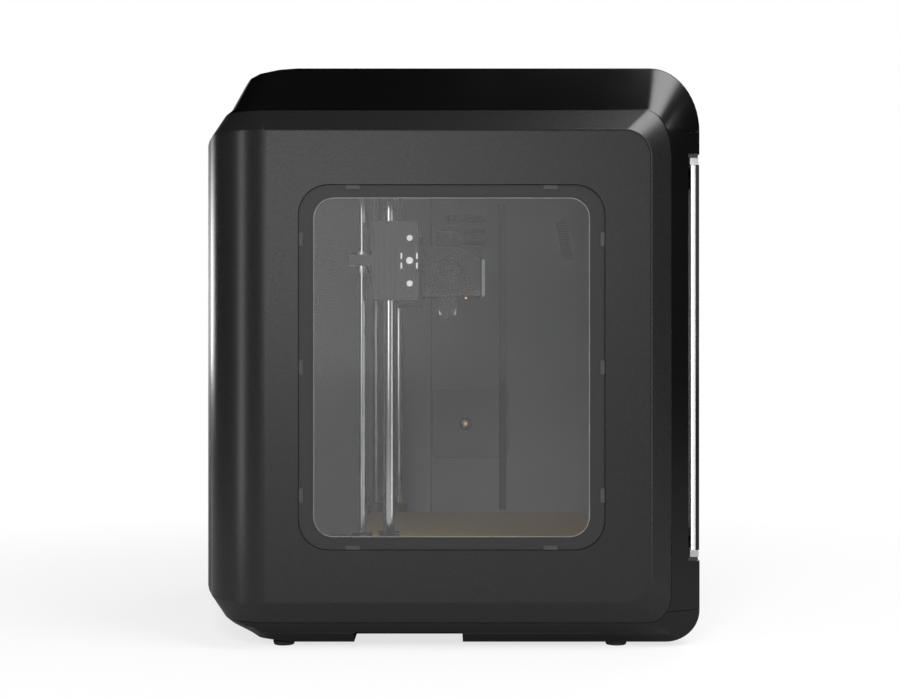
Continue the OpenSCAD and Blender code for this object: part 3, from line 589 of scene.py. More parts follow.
def loft(name, rings, cap_last=True):
    count = len(rings[0])
    piece = join(name, *[trace(f"{name}_{i}", ring) for i, ring in enumerate(rings)])
    edit(piece, "FACE")
    keep_outline()

    def choose(*wanted):
        bpy.ops.mesh.select_all(action="DESELECT")
        shape = bmesh.from_edit_mesh(piece.data)
        shape.verts.ensure_lookup_table()
        for ring in wanted:
            for i in range(ring * count, (ring + 1) * count):
                shape.verts[i].select_set(True)
        shape.select_flush(True)
        bmesh.update_edit_mesh(piece.data)
    for ring in range(len(rings) - 1):
        choose(ring, ring + 1)
        bpy.ops.mesh.bridge_edge_loops()
    for ring in [0, len(rings) - 1] if cap_last else [0]:
        choose(ring)
        bpy.ops.mesh.edge_face_add()
    face_outwards()
    return piece


def arc(centre, radii, start, end, steps=ARC_STEPS):
    turns = [math.radians(start + (end - start) * i / steps) for i in range(steps + 1)]
    return [(centre[0] + radii[0] * math.cos(t), centre[1] + radii[1] * math.sin(t)) for t in turns]


# %% The outline of a tier, and the outline of a layer of the back
def tier_outline(tier, inset):
    front, low, high = TIER_FRONT[tier] + inset, TIER_LOW[tier] + inset, TIER_HIGH[tier] - inset
    low_y, low_z = (r - inset for r in LOW_ROUND[tier])
    top_y, top_z = (r - inset for r in TOP_ROUND[tier])
    far = BACK * 1.6
    return ([(far, low)]
            + arc((front + low_y, low + low_z), (low_y, low_z), 270, 180)
            + arc((front + top_y, high - top_z), (top_y, top_z), 180, 90)
            + [(far, high)])


def back_outline(step_back, step_side, inset):
    reach = step_back + inset
    half = HALF_W + 0.02 * MM - step_side - inset
    corner = max(BACK_CORNER - step_back, 14 * MM) - inset
    big = CROWN - reach
    centre = BACK - CROWN
    cx = half - corner
    cy = centre + math.sqrt((big - corner) ** 2 - cx ** 2)
    lean = math.degrees(math.atan2(cy - centre, cx))
    far = FRONT * 1.6
    return ([(-half, far), (half, far)]
            + arc((cx, cy), (corner, corner), 0, lean)
            + arc((0, centre), (big, big), lean, 180 - lean, 12)[1:-1]
            + arc((-cx, cy), (corner, corner), 180 - lean, 180))


# %% The full form: three tiers of the sides, met by the crowned back
def side_form(name, inset, edge=0.0):
    rings = [[(-TIER_X[t] + inset, y, z) for y, z in tier_outline(t, inset)] for t in range(3)]
    rings.append([(0, y, z) for y, z in tier_outline(2, inset)])
    form = loft(name, rings, cap_last=False)
    if edge:
        edit(form, "EDGE")
        pick_edges(form, lambda a, b: abs(a.x - b.x) < 1e-6 and a.x < -TIER_X[2] + 1e-6)
        bpy.ops.mesh.bevel(offset=edge, segments=3, affect="EDGES")
        done()
    return use(form, "MIRROR", use_axis=(True, False, False), merge_threshold=1e-5)


def back_form(name, inset):
    lows = [(b, s, BASE + low * MM + inset) for b, s, low, _ in BACK_LAYERS]
    highs = [(b, s, TOP - high * MM - inset) for b, s, _, high in BACK_LAYERS]
    rings = [[(x, y, z) for x, y in back_outline(b * MM, s * MM, inset)]
             for b, s, z in lows + highs[::-1]]
    return loft(name, rings)


def casing_form(name, inset, edge=0.0):
    return trim(side_form(name, inset, edge), back_form("back", inset))


outer_form = casing_form("outer_form", 0, edge=1.4 * MM)
inner_form = casing_form("inner_form", WALL)
shell = cut(twin(outer_form, "shell"), inner_form)
print("casing shell faces:", len(shell.data.polygons))

# %% [markdown]
# ## Finishes
# Each finish is a small network on top of one Principled shader. The pattern is set in metres, on
# Object coordinates, so its grain has the size of the real one on every part.

# %% Moulded and painted finishes
def shade(color, factor):
    return tuple(min(c * factor, 1) for c in color)


def gloss_plastic(name, color, roughness=0.16):
    """Polished black styrene: faint orange peel, and handling marks that only show in gloss."""
    finish = Finish(name, color, roughness)
    smudge = finish.noise(9, 5)
    speck = finish.noise(900, 2)
    finish.set("Roughness", roughness + (smudge - 0.45) * 0.12 + (speck - 0.5) * 0.05)
    finish.bump(finish.noise(420, 2) * 0.6 + speck * 0.2, 0.05 * MM, 0.25)
    return finish


def grained_plastic(name, color, roughness=0.52, grain=1500, depth=0.12):
    """Spark-eroded mould texture: fine pits all over, a touch lighter on their rims."""
    finish = Finish(name, color, roughness)
    pits = finish.cells(grain)
    cloud = finish.noise(grain * 1.7, 3)
    mottle = (cloud * 0.7 + pits * 0.5).clamp(0, 1)
    finish.set("Base Color", finish.blend(mottle, shade(color, 0.72), shade(color, 1.45)))
    finish.set("Roughness", roughness + (cloud - 0.5) * 0.16)
    finish.bump(pits * 0.7 + cloud * 0.6, depth * MM, 0.55)
    return finish


def powder_coat(name, color, roughness=0.6):
    finish = Finish(name, color, roughness)
    drops = finish.noise(1100, 3)
    wear = finish.noise(30, 4)
    finish.set("Base Color", finish.blend(wear, shade(color, 0.85), shade(color, 1.2)))
    finish.set("Roughness", roughness + (drops - 0.5) * 0.2)
    finish.bump(drops, 0.1 * MM, 0.4)
    return finish


# %% Metals
def ground_steel(name, color, roughness, rings=(40, 40, 2600)):
    """Ground or turned metal: fine marks across the run of the bar."""
    finish = Finish(name, color, roughness, 1.0)
    marks = finish.noise(1, 3, finish.stretched(rings))
    stain = finish.noise(25, 4)
    finish.set("Base Color", finish.blend(stain, shade(color, 0.86), color))
    finish.set("Roughness", roughness + (marks - 0.5) * 0.14 + (stain - 0.5) * 0.06)
    finish.bump(marks, 0.02 * MM, 0.3)
    return finish


def rough_sheet(name, color, roughness=0.42):
    """Zinc-plated sheet: soft spangles and roughness that drifts."""
    finish = Finish(name, color, roughness, 0.9)
    spangle = finish.cells(160)
    drift = finish.noise(14, 5)
    finish.set("Base Color", finish.blend(spangle, shade(color, 0.82), color))
    finish.set("Roughness", roughness + (spangle - 0.5) * 0.12 + (drift - 0.5) * 0.1)
    finish.bump(finish.noise(700, 3), 0.04 * MM, 0.3)
    return finish


# %% Clear sheet and glass
def clear_sheet(name, haze, alpha, roughness=0.06):
    """Smoked acrylic: mostly see-through, with a grey haze whose colour is painted darker towards the front,
    a painted shade.
    """
    finish = Finish(name, haze, roughness)
    drift = finish.noise(6, 3)
    # Painted shade: the haze colour is lighter towards the rear and darker towards the front.
    painted_light_rearward = (finish.axis("Y") / (300 * MM) + 0.55 + (drift - 0.5) * 0.2).clamp(0, 1)
    finish.set("Alpha", alpha + (drift - 0.5) * 0.05)
    finish.set("Base Color", finish.blend(painted_light_rearward, shade(haze, 0.5), haze))
    finish.set("Roughness", roughness + finish.noise(40, 3) * 0.05)
    return finish


CASING = gloss_plastic("gloss_black", (0.0018, 0.0018, 0.0019))
SIDE = grained_plastic("grained_dark_grey", (0.0075, 0.0076, 0.0079), 0.27, 1500, 0.05)
REAR = grained_plastic("grained_black", (0.016, 0.016, 0.017), 0.46)
FLANGE = grained_plastic("window_flange_black", (0.014, 0.014, 0.0145), 0.38, 2200, 0.05)
LID = gloss_plastic("lid_black", (0.013, 0.013, 0.014), 0.24)
TAB = grained_plastic("tab_grey", (0.036, 0.0364, 0.037), 0.45, 1800, 0.05)
PANE = clear_sheet("smoked_pane", (0.26, 0.262, 0.264), 0.14)
print("casing finishes:", [f.material.name for f in (CASING, SIDE, REAR, FLANGE, LID, TAB, PANE)])

# %% [markdown]
# ## Cutting the shells
# The real casing is six mouldings that meet at thin seams. Cutting them all from one smooth shell
# keeps every tier and corner in line across the seams, as tooling for the real thing would.

# %% Zones that divide the shell
FAR = 0.6
PAST_SIDE = 0.3
UNDER = -0.01


def panel_zone(gap):
    outline = tier_outline(1, gap)
    return loft("zone", [[(x, y, z) for y, z in outline] for x in (-1.2 * HALF_W, 1.2 * HALF_W)])


LOW_SEAM = TIER_LOW[1] + 9.8 * MM
TOP_SEAM = TIER_HIGH[1] - 18.2 * MM
BACK_SEAM = HALF_W - 62 * MM
INNER_X = HALF_W - WALL
cover_zone = panel_zone(-SEAM / 2)
side_zone = panel_zone(SEAM / 2)


def cover(name, low, high):
    piece = trim(twin(shell, name), block("band", (-1, -1, low), (1, 1, high)))
    return cut(piece, cover_zone, keep=True)


def panel(name, low, high):
    piece = trim(twin(shell, name), side_zone, keep=True)
    return trim(piece, block("part", low, high))


def finish_shell(piece):
    """Merges stray points that cutting leaves and smooths what should flow."""
    edit(piece, "VERT")
    merge_points(0.02 * MM)
    bpy.ops.mesh.dissolve_degenerate(threshold=0.01 * MM)
    done()
    return smooth(piece)


# %% [markdown]
# ### Base cover
# The base is a tray with a hand recess under each side and air slots under the electronics.

# %% Base cover
GRIP_Y = (-20.3 * MM, 81.7 * MM)
GRIP_IN = HALF_W - 73 * MM
GRIP_TOP = 14.8 * MM
base = cover("base_tray", UNDER, LOW_SEAM - SEAM / 2)
for side in (-1, 1):
    reach = sorted((side * (GRIP_IN - WALL), side * HALF_W))
    lining = block("lining", (reach[0], GRIP_Y[0] - WALL, UNDER),
                   (reach[1], GRIP_Y[1] + WALL, GRIP_TOP + WALL))
    weld(base, trim(lining, twin(outer_form, "form")))
for side in (-1, 1):
    reach = sorted((side * GRIP_IN, side * 1.1 * HALF_W))
    cut(base, soft_block("hollow", (reach[0], GRIP_Y[0], UNDER), (reach[1], GRIP_Y[1], GRIP_TOP), 0, 3 * MM))
AIR_Y = (-160 * MM, -100 * MM)
AIR_WIDTH = 6 * MM
for x in row(-120, 14, 8):
    cut(base, soft_block("slot", (x, AIR_Y[0], UNDER), (x + AIR_WIDTH, AIR_Y[1], BASE + 1.5 * WALL),
                         2, 2.9 * MM))
dress(finish_shell(base), CASING, "root", "base_cover")
print("base faces:", len(base.data.polygons))

# %% [markdown]
# ### Front bezel
# The bezel carries the door slot, which is open at the left so that the hinge shows from the side,
# the way into the chamber, a finger scoop, the screen's hole and a data socket.

# %% Front bezel
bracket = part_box("door_brackets")
pane_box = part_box("door_pane")
screen_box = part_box("touch_screen")
SLOT_Z = (bracket[0].z, bracket[1].z)
SLOT_BACK = bracket[1].y
DOOR_RIGHT = pane_box[1].x
SCREEN_EDGE = 2 * MM
SCOOP_Z = (236 * MM, 306 * MM)
SOCKET_Z = (292 * MM, 298 * MM)
SOCKET_HALF = 7 * MM
bezel = cover("front_bezel_shell", LOW_SEAM + SEAM / 2, TOP_SEAM - SEAM / 2)
liner = block("liner", (bracket[0].x - 16.5 * MM, FRONT, SLOT_Z[0] - WALL),
              (DOOR_RIGHT + 4.5 * MM, SLOT_BACK + WALL, SLOT_Z[1] + WALL))
weld(bezel, trim(liner, twin(outer_form, "form")))
cut(bezel, block("slot", (-FAR, -FAR, SLOT_Z[0]), (DOOR_RIGHT + 1.5 * MM, SLOT_BACK, SLOT_Z[1])))
cut(bezel, soft_block("way_in", (-INNER_X + 42 * MM, SLOT_BACK - MM, SLOT_Z[0] + 8 * MM),
                      (DOOR_RIGHT - 12 * MM, SLOT_BACK + 4 * MM, SLOT_Z[1] - 12 * MM), 1, 12 * MM, 10))
cut(bezel, soft_block("scoop", (DOOR_RIGHT - 3 * MM, -FAR, SCOOP_Z[0]),
                      (DOOR_RIGHT + 9 * MM, FRONT + 2.2 * MM, SCOOP_Z[1]), 1, 5 * MM))
screen_hole = [(screen_box[0].x + SCREEN_EDGE, -FAR, screen_box[0].z + SCREEN_EDGE),
               (screen_box[1].x - SCREEN_EDGE, FRONT + 4 * MM, screen_box[1].z - SCREEN_EDGE)]
cut(bezel, soft_block("screen_hole", *screen_hole, 1, 5 * MM))
screen_mid = (screen_box[0].x + screen_box[1].x) / 2
cut(bezel, soft_block("socket", (screen_mid - SOCKET_HALF, -FAR, SOCKET_Z[0]),
                      (screen_mid + SOCKET_HALF, FRONT + 4 * MM, SOCKET_Z[1]), 1, MM, 3))
dress(finish_shell(bezel), CASING, "root", "front_bezel")
print("bezel faces:", len(bezel.data.polygons))

# %% [markdown]
# ### Top cover and its loose lid
# The lid lifts straight out of a rebate. It has an eased edge and a finger recess at the front.

# %% Top cover and lid
lid_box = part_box("top_lid")
LID_GAP = 0.4 * MM
LEDGE_OUT = 3.6 * MM
LEDGE_IN = 7.6 * MM


def lid_block(name, by, low_z, radius):
    """A rounded block that is wider than the lid by a margin on each side."""
    return soft_block(name, (lid_box[0].x - by, lid_box[0].y - by, low_z),
                      (lid_box[1].x + by, lid_box[1].y + by, TOP + MM), 2, radius, 12)


top = cover("top_cover_shell", TOP_SEAM + SEAM / 2, TOP + MM)
ledge = block("ledge", (lid_box[0].x - LEDGE_OUT, lid_box[0].y - LEDGE_OUT, TOP - 2 * WALL),
              (lid_box[1].x + LEDGE_OUT, lid_box[1].y + LEDGE_OUT, TOP - WALL + 0.01 * MM))
weld(top, ledge)
cut(top, lid_block("rebate", LID_GAP, TOP - WALL, 16 * MM))
cut(top, lid_block("way_in", -LEDGE_IN, TOP - 3 * WALL, 12 * MM))
dress(finish_shell(top), CASING, "root", "top_cover")

lid = soft_block("lid_plate", lid_box[0], lid_box[1], 2, 15.6 * MM, 12)
edit(lid, "EDGE")
pick_edges(lid, lambda a, b: a.z > TOP - 0.01 * MM and b.z > TOP - 0.01 * MM)
bpy.ops.mesh.bevel(offset=0.8 * MM, segments=3, affect="EDGES")
done()
cut(lid, soft_block("pull", (-75 * MM, lid_box[0].y + 10 * MM, TOP - 1.6 * MM),
                    (5 * MM, lid_box[0].y + 30 * MM, TOP + MM), 2, 9 * MM, 10))
dress(finish_shell(lid), LID, "lid", "top_lid")
print("lid is", round((lid_box[1].x - lid_box[0].x) / MM), "mm wide")

# %% [markdown]
# ### Side panels and back
# The left panel frames the window. The right one has the square door of the spool bay and air
# slots. The back carries outlet slots and a pocket for the mains inlet.

# %% Left side panel
frame_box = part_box("window_frame")
REBATE = (frame_box[0] - Vector((0, 0.3 * MM, 0.3 * MM)), frame_box[1] + Vector((0, 0.3 * MM, 0.3 * MM)))
WINDOW_R = 28 * MM


def window_block(name, by, x_low, x_high, radius=None):
    return soft_block(name, (x_low, REBATE[0].y - by, REBATE[0].z - by),
                      (x_high, REBATE[1].y + by, REBATE[1].z + by), 0, radius or WINDOW_R + by, 12)


left = panel("left_panel", (-FAR, -FAR, 0), (-BACK_SEAM - SEAM / 2, FAR, FAR))
weld(left, window_block("lip", 2.5 * MM, -INNER_X - 0.5 * MM, -INNER_X + 3.5 * MM))
cut(left, window_block("rebate", 0, -PAST_SIDE, -INNER_X + MM))
cut(left, window_block("hole", -6 * MM, -PAST_SIDE, -INNER_X + 5 * MM))
dress(finish_shell(left), SIDE, "root", "left_side_panel")

# %% Right side panel
bay_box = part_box("spool_bay_door")
PIN_OUT = 4 * MM
BAY_GAP = 0.9 * MM
bay_low = Vector((HALF_W - 3.6 * MM, bay_box[0].y - BAY_GAP, bay_box[0].z + PIN_OUT))
bay_high = Vector((PAST_SIDE, bay_box[1].y + BAY_GAP, bay_box[1].z - PIN_OUT))
hinge_y = bay_box[1].y - 3.5 * MM
hinge_x = HALF_W - 1.75 * MM
EAR_X = (INNER_X - 3 * MM, INNER_X + 0.5 * MM)
right = panel("right_panel", (BACK_SEAM + SEAM / 2, -FAR, 0), (FAR, FAR, FAR))
for z in (bay_low.z - 6 * MM, bay_high.z):
    weld(right, soft_block("ear", (EAR_X[0], hinge_y - 5 * MM, z),
                           (EAR_X[1], hinge_y + 5 * MM, z + 6 * MM), 2, MM, 3))
weld(right, block("stop", (EAR_X[0], bay_low.y - 4 * MM, bay_low.z + 30 * MM),
                  (EAR_X[1], bay_low.y + 4 * MM, bay_high.z - 30 * MM)))
cut(right, soft_block("bay", bay_low, bay_high, 0, 1.5 * MM, 4))
for z in (bay_low.z - 7 * MM, bay_high.z - MM):
    cut(right, rod("bore", 1.25 * MM, (hinge_x, hinge_y, z), (hinge_x, hinge_y, z + 8 * MM), 24))
SIDE_AIR_Y = (-110 * MM, -20 * MM)
for z in row(66, 12, 6):
    cut(right, soft_block("air", (INNER_X - MM, SIDE_AIR_Y[0], z),
                          (PAST_SIDE, SIDE_AIR_Y[1], z + 5 * MM), 0, 2.4 * MM))
dress(finish_shell(right), SIDE, "root", "right_side_panel")

# %% Rear panel
PARTITION_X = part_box("partition_wall")[0].x
REAR_WALL_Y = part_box("chamber_rear_wall")[0].y
POCKET_X = (PARTITION_X + 6 * MM, PARTITION_X + 31 * MM)
POCKET_MID = sum(POCKET_X) / 2
POCKET_Z = (66 * MM, 153 * MM)
POCKET_Y = REAR_WALL_Y + 4 * MM
RIM = 2.5 * MM
VENT_X, VENT_Z = -60 * MM, 385 * MM
VENT_HALF = 40 * MM
rear = panel("rear_panel_shell", (-BACK_SEAM + SEAM / 2, 0, 0), (BACK_SEAM - SEAM / 2, FAR, FAR))
housing = block("housing", (POCKET_X[0] - RIM, POCKET_Y - WALL, POCKET_Z[0] - RIM),
                (POCKET_X[1] + RIM, FAR, POCKET_Z[1] + RIM))
weld(rear, trim(housing, twin(outer_form, "form")))
cut(rear, soft_block("pocket", (POCKET_X[0], POCKET_Y, POCKET_Z[0]),
                     (POCKET_X[1], FAR, POCKET_Z[1]), 1, 2 * MM, 4))
for name, half_x, low_z, high_z in (("inlet", 10.3, 84.7, 113.3), ("switch", 7.3, 130.2, 148.8)):
    cut(rear, block(name, (POCKET_MID - half_x * MM, 0, low_z * MM),
                    (POCKET_MID + half_x * MM, FAR, high_z * MM)))
for step in row(-42, 10, 9):
    x = VENT_X + step
    cut(rear, soft_block("outlet", (x, 0, VENT_Z - VENT_HALF),
                         (x + 4 * MM, FAR, VENT_Z + VENT_HALF), 1, 1.9 * MM))
dress(finish_shell(rear), REAR, "root", "rear_panel")
for spare in (shell, outer_form, cover_zone, side_zone):
    bpy.data.objects.remove(spare)
print("panels:", [len(p.data.polygons) for p in (left, right, rear)])

# %% [markdown]
# ### The window
# A black flange sits in the panel's rebate behind ten snap tabs, and holds a smoked pane. A band round
# the pane's edge is painted a lighter grey, a painted highlight where the edge catches the light all round.

# %% Flange, pane and tabs
pane_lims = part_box("window_pane")
flange = window_block("window_flange", -0.3 * MM, frame_box[0].x, frame_box[1].x)
hole = soft_block("hole", (-PAST_SIDE, pane_lims[0].y - 0.2 * MM, pane_lims[0].z - 0.2 * MM),
                  (0, pane_lims[1].y + 0.2 * MM, pane_lims[1].z + 0.2 * MM), 0, 19 * MM, 12)
cut(flange, hole)
dress(soften(flange, 0.35 * MM), FLANGE, "root", "window_frame")

HIGHLIGHT_BAND = 0.9 * MM
pane = soft_block("window_sheet", pane_lims[0], pane_lims[1], 0, 18.8 * MM, 12)
sink(pane, faces_left, HIGHLIGHT_BAND)
pane.data.materials.append(PANE.material)
# Painted highlight: the band round the pane's edge gets a lighter, half-opaque grey for the light it
# catches.
EDGE = Finish("painted_edge_highlight", (0.30, 0.305, 0.31), 0.35)
EDGE.set("Roughness", 0.35 + (EDGE.noise(500, 3) - 0.5) * 0.2)
EDGE.set("Alpha", 0.42 + (EDGE.noise(60, 3) - 0.5) * 0.3)
pane.data.materials.append(EDGE.material)
inside = (pane_lims[0] + pane_lims[1]) / 2
for face in pane.data.polygons:
    deep_y = (pane_lims[1].y - pane_lims[0].y) / 2 - abs(face.center.y - inside.y)
    deep_z = (pane_lims[1].z - pane_lims[0].z) / 2 - abs(face.center.z - inside.z)
    if face.normal.x < -0.9 and len(face.vertices) == 4 and min(deep_y, deep_z) < 8 * MM:
        face.material_index = 1
dress(smooth(pane), PANE, "root", "window_pane")

tab_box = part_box("window_clips")
TAB_HALF = (6.5 * MM, 2 * MM)
TAB_FROM_CORNER = 50.5 * MM
TAB_FROM_EDGE = 2.6 * MM
tab_z = [REBATE[0].z + TAB_FROM_CORNER, (REBATE[0].z + REBATE[1].z) / 2, REBATE[1].z - TAB_FROM_CORNER]
tab_y = [REBATE[0].y + TAB_FROM_CORNER, REBATE[1].y - TAB_FROM_CORNER]
edge_y = (REBATE[0].y + TAB_FROM_EDGE, REBATE[1].y - TAB_FROM_EDGE)
edge_z = (REBATE[0].z + TAB_FROM_EDGE, REBATE[1].z - TAB_FROM_EDGE)
tab_places = [(y, z, *TAB_HALF) for y in tab_y for z in edge_z]
tab_places += [(y, z, *TAB_HALF[::-1]) for y in edge_y for z in tab_z]
tabs = []
for y, z, half_y, half_z in tab_places:
    tab = block("tab", (tab_box[0].x, y - half_y, z - half_z), (tab_box[1].x, y + half_y, z + half_z))
    tabs.append(soften(sink(tab, faces_left, 0.7 * MM, 0.35 * MM), 0.25 * MM))
dress(join("window_tabs", *tabs), TAB, "root", "window_clips")
print("tabs:", len(tabs))

# %% [markdown]
# ## Finishes for the works inside
# The motion parts are ground, plated or turned metal, black moulded blocks, rubber belts and a
# textured gold print sheet. Each of these gets its own small network.

# %% Metals, blocks and boards
ROD_STEEL = ground_steel("ground_rod_steel", (0.86, 0.87, 0.88), 0.13)
SCREW_STEEL = ground_steel("rolled_screw_steel", (0.74, 0.75, 0.77), 0.2)
PLATED = rough_sheet("zinc_plated_sheet", (0.50, 0.51, 0.52))
DARK_STEEL = ground_steel("blackened_steel", (0.10, 0.10, 0.105), 0.38)
ALUMINIUM = ground_steel("brushed_aluminium", (0.80, 0.81, 0.82), 0.26, (2600, 60, 60))
NICKEL = ground_steel("bright_nickel", (0.86, 0.86, 0.85), 0.16)
BRASS = ground_steel("turned_brass", (0.72, 0.52, 0.22), 0.25)
FRAME_PAINT = powder_coat("frame_grey_paint", (0.10, 0.104, 0.11))
CHAMBER = powder_coat("chamber_grey_paint", (0.15, 0.1505, 0.151), 0.65)
BLOCK = grained_plastic("moulded_block_black", (0.020, 0.0202, 0.0206), 0.5, 2000, 0.06)
HEAD = grained_plastic("toolhead_black", (0.034, 0.0344, 0.035), 0.48, 2600, 0.05)
FITTING = grained_plastic("fitting_grey", (0.070, 0.071, 0.073), 0.5, 2200, 0.06)
SPOOL_GREY = gloss_plastic("spool_grey", (0.05, 0.052, 0.055), 0.3)
# Painted highlight: white for the glints on the rod ends, the tension bolt and its guides.
GLINT_WHITE = grained_plastic("white_painted_glint", (0.78, 0.78, 0.77), 0.4, 1500, 0.03)


def rubber(name, color):
    finish = Finish(name, color, 0.86)
    bloom = finish.noise(60, 5)
    finish.set("Base Color", finish.blend(bloom, color, tuple(c * 1.9 + 0.006 for c in color)))
    finish.bump(finish.noise(1400, 3), 0.06 * MM, 0.4)
    return finish


def circuit_board():
    """Solder mask over copper: traces as thin bands between cells."""
    finish = Finish("circuit_board", (0.01, 0.06, 0.03), 0.35)
    squares = finish.node("ShaderNodeTexBrick", sockets={
        "Vector": finish.place, "Scale": 90.0, "Mortar Size": 0.03, "Color1": (0, 0, 0, 1),
        "Color2": (0.2, 0.2, 0.2, 1), "Mortar": (1, 1, 1, 1)}, output="Fac")
    finish.set("Base Color", finish.blend(squares, (0.008, 0.05, 0.022), (0.05, 0.15, 0.06)))
    finish.bump(squares, 0.05 * MM, 0.5)
    return finish


def gold_sheet():
    """Spring steel with a baked gold resin: pebbled, warm, and a little worn in the middle."""
    finish = Finish("gold_print_sheet", (0.46, 0.30, 0.10), 0.48, 0.55)
    pebble = finish.cells(1300)
    wear = finish.noise(12, 5)
    finish.set("Base Color", finish.blend(wear, (0.40, 0.255, 0.080), (0.56, 0.39, 0.15)))
    finish.set("Roughness", 0.40 + pebble * 0.18 + (wear - 0.5) * 0.15)
    finish.bump(pebble, 0.08 * MM, 0.6)
    return finish


def toothed_belt(name, letter):
    """The tooth pitch is 2 mm along the run, so a sine of that length makes the teeth."""
    finish = Finish(name, (0.012, 0.012, 0.012), 0.75)
    teeth = (finish.axis(letter) * (FULL_TURN / (2 * MM))).wave()
    weave = finish.noise(2500, 2)
    finish.set("Base Color", finish.blend(weave, (0.009, 0.009, 0.009), (0.028, 0.028, 0.027)))
    finish.bump(teeth * 0.5 + weave * 0.1, 0.35 * MM, 0.8)
    return finish


FOOT_RUBBER = rubber("foot_rubber", (0.012, 0.012, 0.012))
BOARD = circuit_board()
GOLD = gold_sheet()
X_BELT = toothed_belt("x_belt_rubber", "X")
Y_BELT = toothed_belt("y_belt_rubber", "Y")
print("finishes:", len(bpy.data.materials))

# %% [markdown]
# ## Easing the edges of frame parts
# A bracket, rail or pulley already has its right shape in the frame. What it lacks is the small
# radius that every made edge has and that catches light. A merged copy gets that radius, and the
# frame's own node stays untouched behind it.

# %% Eased copies of frame parts
def body_of(node):
    return frame["nodes"][node]["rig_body"]


def middle_of(node):
    """Where the middle of a node lies along X and Y, its radius, and its ends along Z."""
    low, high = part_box(node)
    return (low.x + high.x) / 2, (low.y + high.y) / 2, (high.x - low.x) / 2, low.z, high.z


def eased(node, finish, width, segments=2, flat=0.6):
    """A copy of a node with its points merged, flat faces dissolved and edges rounded."""
    source = frame["nodes"][node]
    piece = bpy.data.objects.new(node + "_made", source.data.copy())
    piece.data.name = piece.name
    piece.data.materials.clear()
    bpy.context.scene.collection.objects.link(piece)
    edit(piece, "VERT")
    merge_points(0.002 * MM)
    bpy.ops.mesh.dissolve_limited(angle_limit=math.radians(flat))
    done()
    if width:
        soften(piece, width, segments)
    else:
        smooth(piece)
    return dress(piece, finish, body_of(node), node)


def paint_faces(piece, finish, test):
    """A second finish on the faces that pass a test on their centre and normal."""
    piece.data.materials.append(finish.material)
    slot = len(piece.data.materials) - 1
    for face in piece.data.polygons:
        if test(face.center, face.normal):
            face.material_index = slot


EASED = [
    ("chassis_frame", FRAME_PAINT, 1.0), ("chassis_floor", PLATED, 0.3), ("chamber_rear_wall", CHAMBER, 0.4),
    ("partition_wall", CHAMBER, 0.3), ("electronics", BOARD, 0.4), ("z_rods", ROD_STEEL, 0.7),
    ("z_rod_sockets", BLOCK, 0.7), ("base_motors", DARK_STEEL, 0.8), ("z_bearings", ALUMINIUM, 0.5),
    ("screw_nuts", ALUMINIUM, 0.4), ("x_rods", ROD_STEEL, 0.6), ("x_motor", DARK_STEEL, 0.8),
    ("x_drive_pulley", ALUMINIUM, 0.2), ("x_idler", ALUMINIUM, 0.2), ("x_belt", X_BELT, 0.15),
    ("belt_tensioner", BLOCK, 0.25), ("carriage", BLOCK, 0.6), ("hotend", BRASS, 0.4),
    ("bed_carriage", PLATED, 0.5), ("heated_plate", ALUMINIUM, 0.5), ("print_sheet", GOLD, 0.2),
    ("y_rods", ROD_STEEL, 0.5), ("y_drive", ALUMINIUM, 0.2), ("y_idler", ALUMINIUM, 0.2),
    ("y_belt", Y_BELT, 0.15), ("door_brackets", DARK_STEEL, 0.3), ("spool_hub", FITTING, 0.8),
    ("power_module", FITTING, 0.3)]
made = {node: eased(node, finish, width * MM) for node, finish, width in EASED}
print("eased:", len(made), "faces:", sum(len(p.data.polygons) for p in made.values()))

# %% A few of them carry two finishes
# Painted shade: a dark colour on faces where shade falls, in the partition's slots and on its back, at the
# duct's tip and round the lens cover.
PAINTED_SHADE = powder_coat("painted_shade_black", (0.030, 0.030, 0.031), 0.7)
paint_faces(made["partition_wall"], PAINTED_SHADE, lambda c, n: c.x > PARTITION_X + 0.2 * MM)
paint_faces(made["electronics"], PLATED, lambda c, n: c.x < 60 * MM)
RAIL_BLOCK = 8.2 * MM
rail_low, rail_high = (end.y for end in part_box("y_rods"))
nozzle_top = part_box("hotend")[0].z + 4.6 * MM
motor_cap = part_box("base_motors")[1].z - 8 * MM
paint_faces(made["y_rods"], BLOCK, lambda c, n: c.y < rail_low + RAIL_BLOCK or c.y > rail_high - RAIL_BLOCK)
paint_faces(made["hotend"], ALUMINIUM, lambda c, n: c.z > nozzle_top)
paint_faces(made["base_motors"], ALUMINIUM, lambda c, n: c.z > motor_cap)

# %% [markdown]
# ## Lead screws
# A lead screw is a rod with four thread starts wound round it. The Screw modifier turns a short
# profile into the ridges. Its lead is 8 mm, which is how far one turn lifts the gantry.

# %% Lead screws with real threads
LEAD = 8 * MM
STARTS = 4
RIDGE = 0.55 * MM
SMOOTH_END = 12 * MM


def thread(x, y, radius, base_z, turns):
    """One ridge: a small profile at the core's edge, wound round the axis and moved to its place."""
    edge_x = radius - RIDGE / 2
    deselect()
    bpy.ops.mesh.primitive_plane_add(size=MM, location=(edge_x, 0, base_z))
    ridge = settle("ridge")
    edit(ridge, "VERT")
    pick_all()
    bpy.ops.transform.resize(value=(RIDGE * 1.3 / MM, 0, 1), center_override=(edge_x, 0, base_z))
    bpy.ops.mesh.remove_doubles(threshold=0.01 * MM)
    bpy.ops.mesh.extrude_region_move(TRANSFORM_OT_translate={"value": (0, 0, LEAD / STARTS * 0.62)})
    done()
    use(ridge, "SCREW", axis="Z", screw_offset=LEAD, iterations=turns, steps=14, render_steps=14,
        use_merge_vertices=True, merge_threshold=0.005 * MM)
    focus(ridge)
    bpy.ops.transform.translate(value=(x, y, 0))
    bpy.ops.object.transform_apply(location=True)
    return ridge


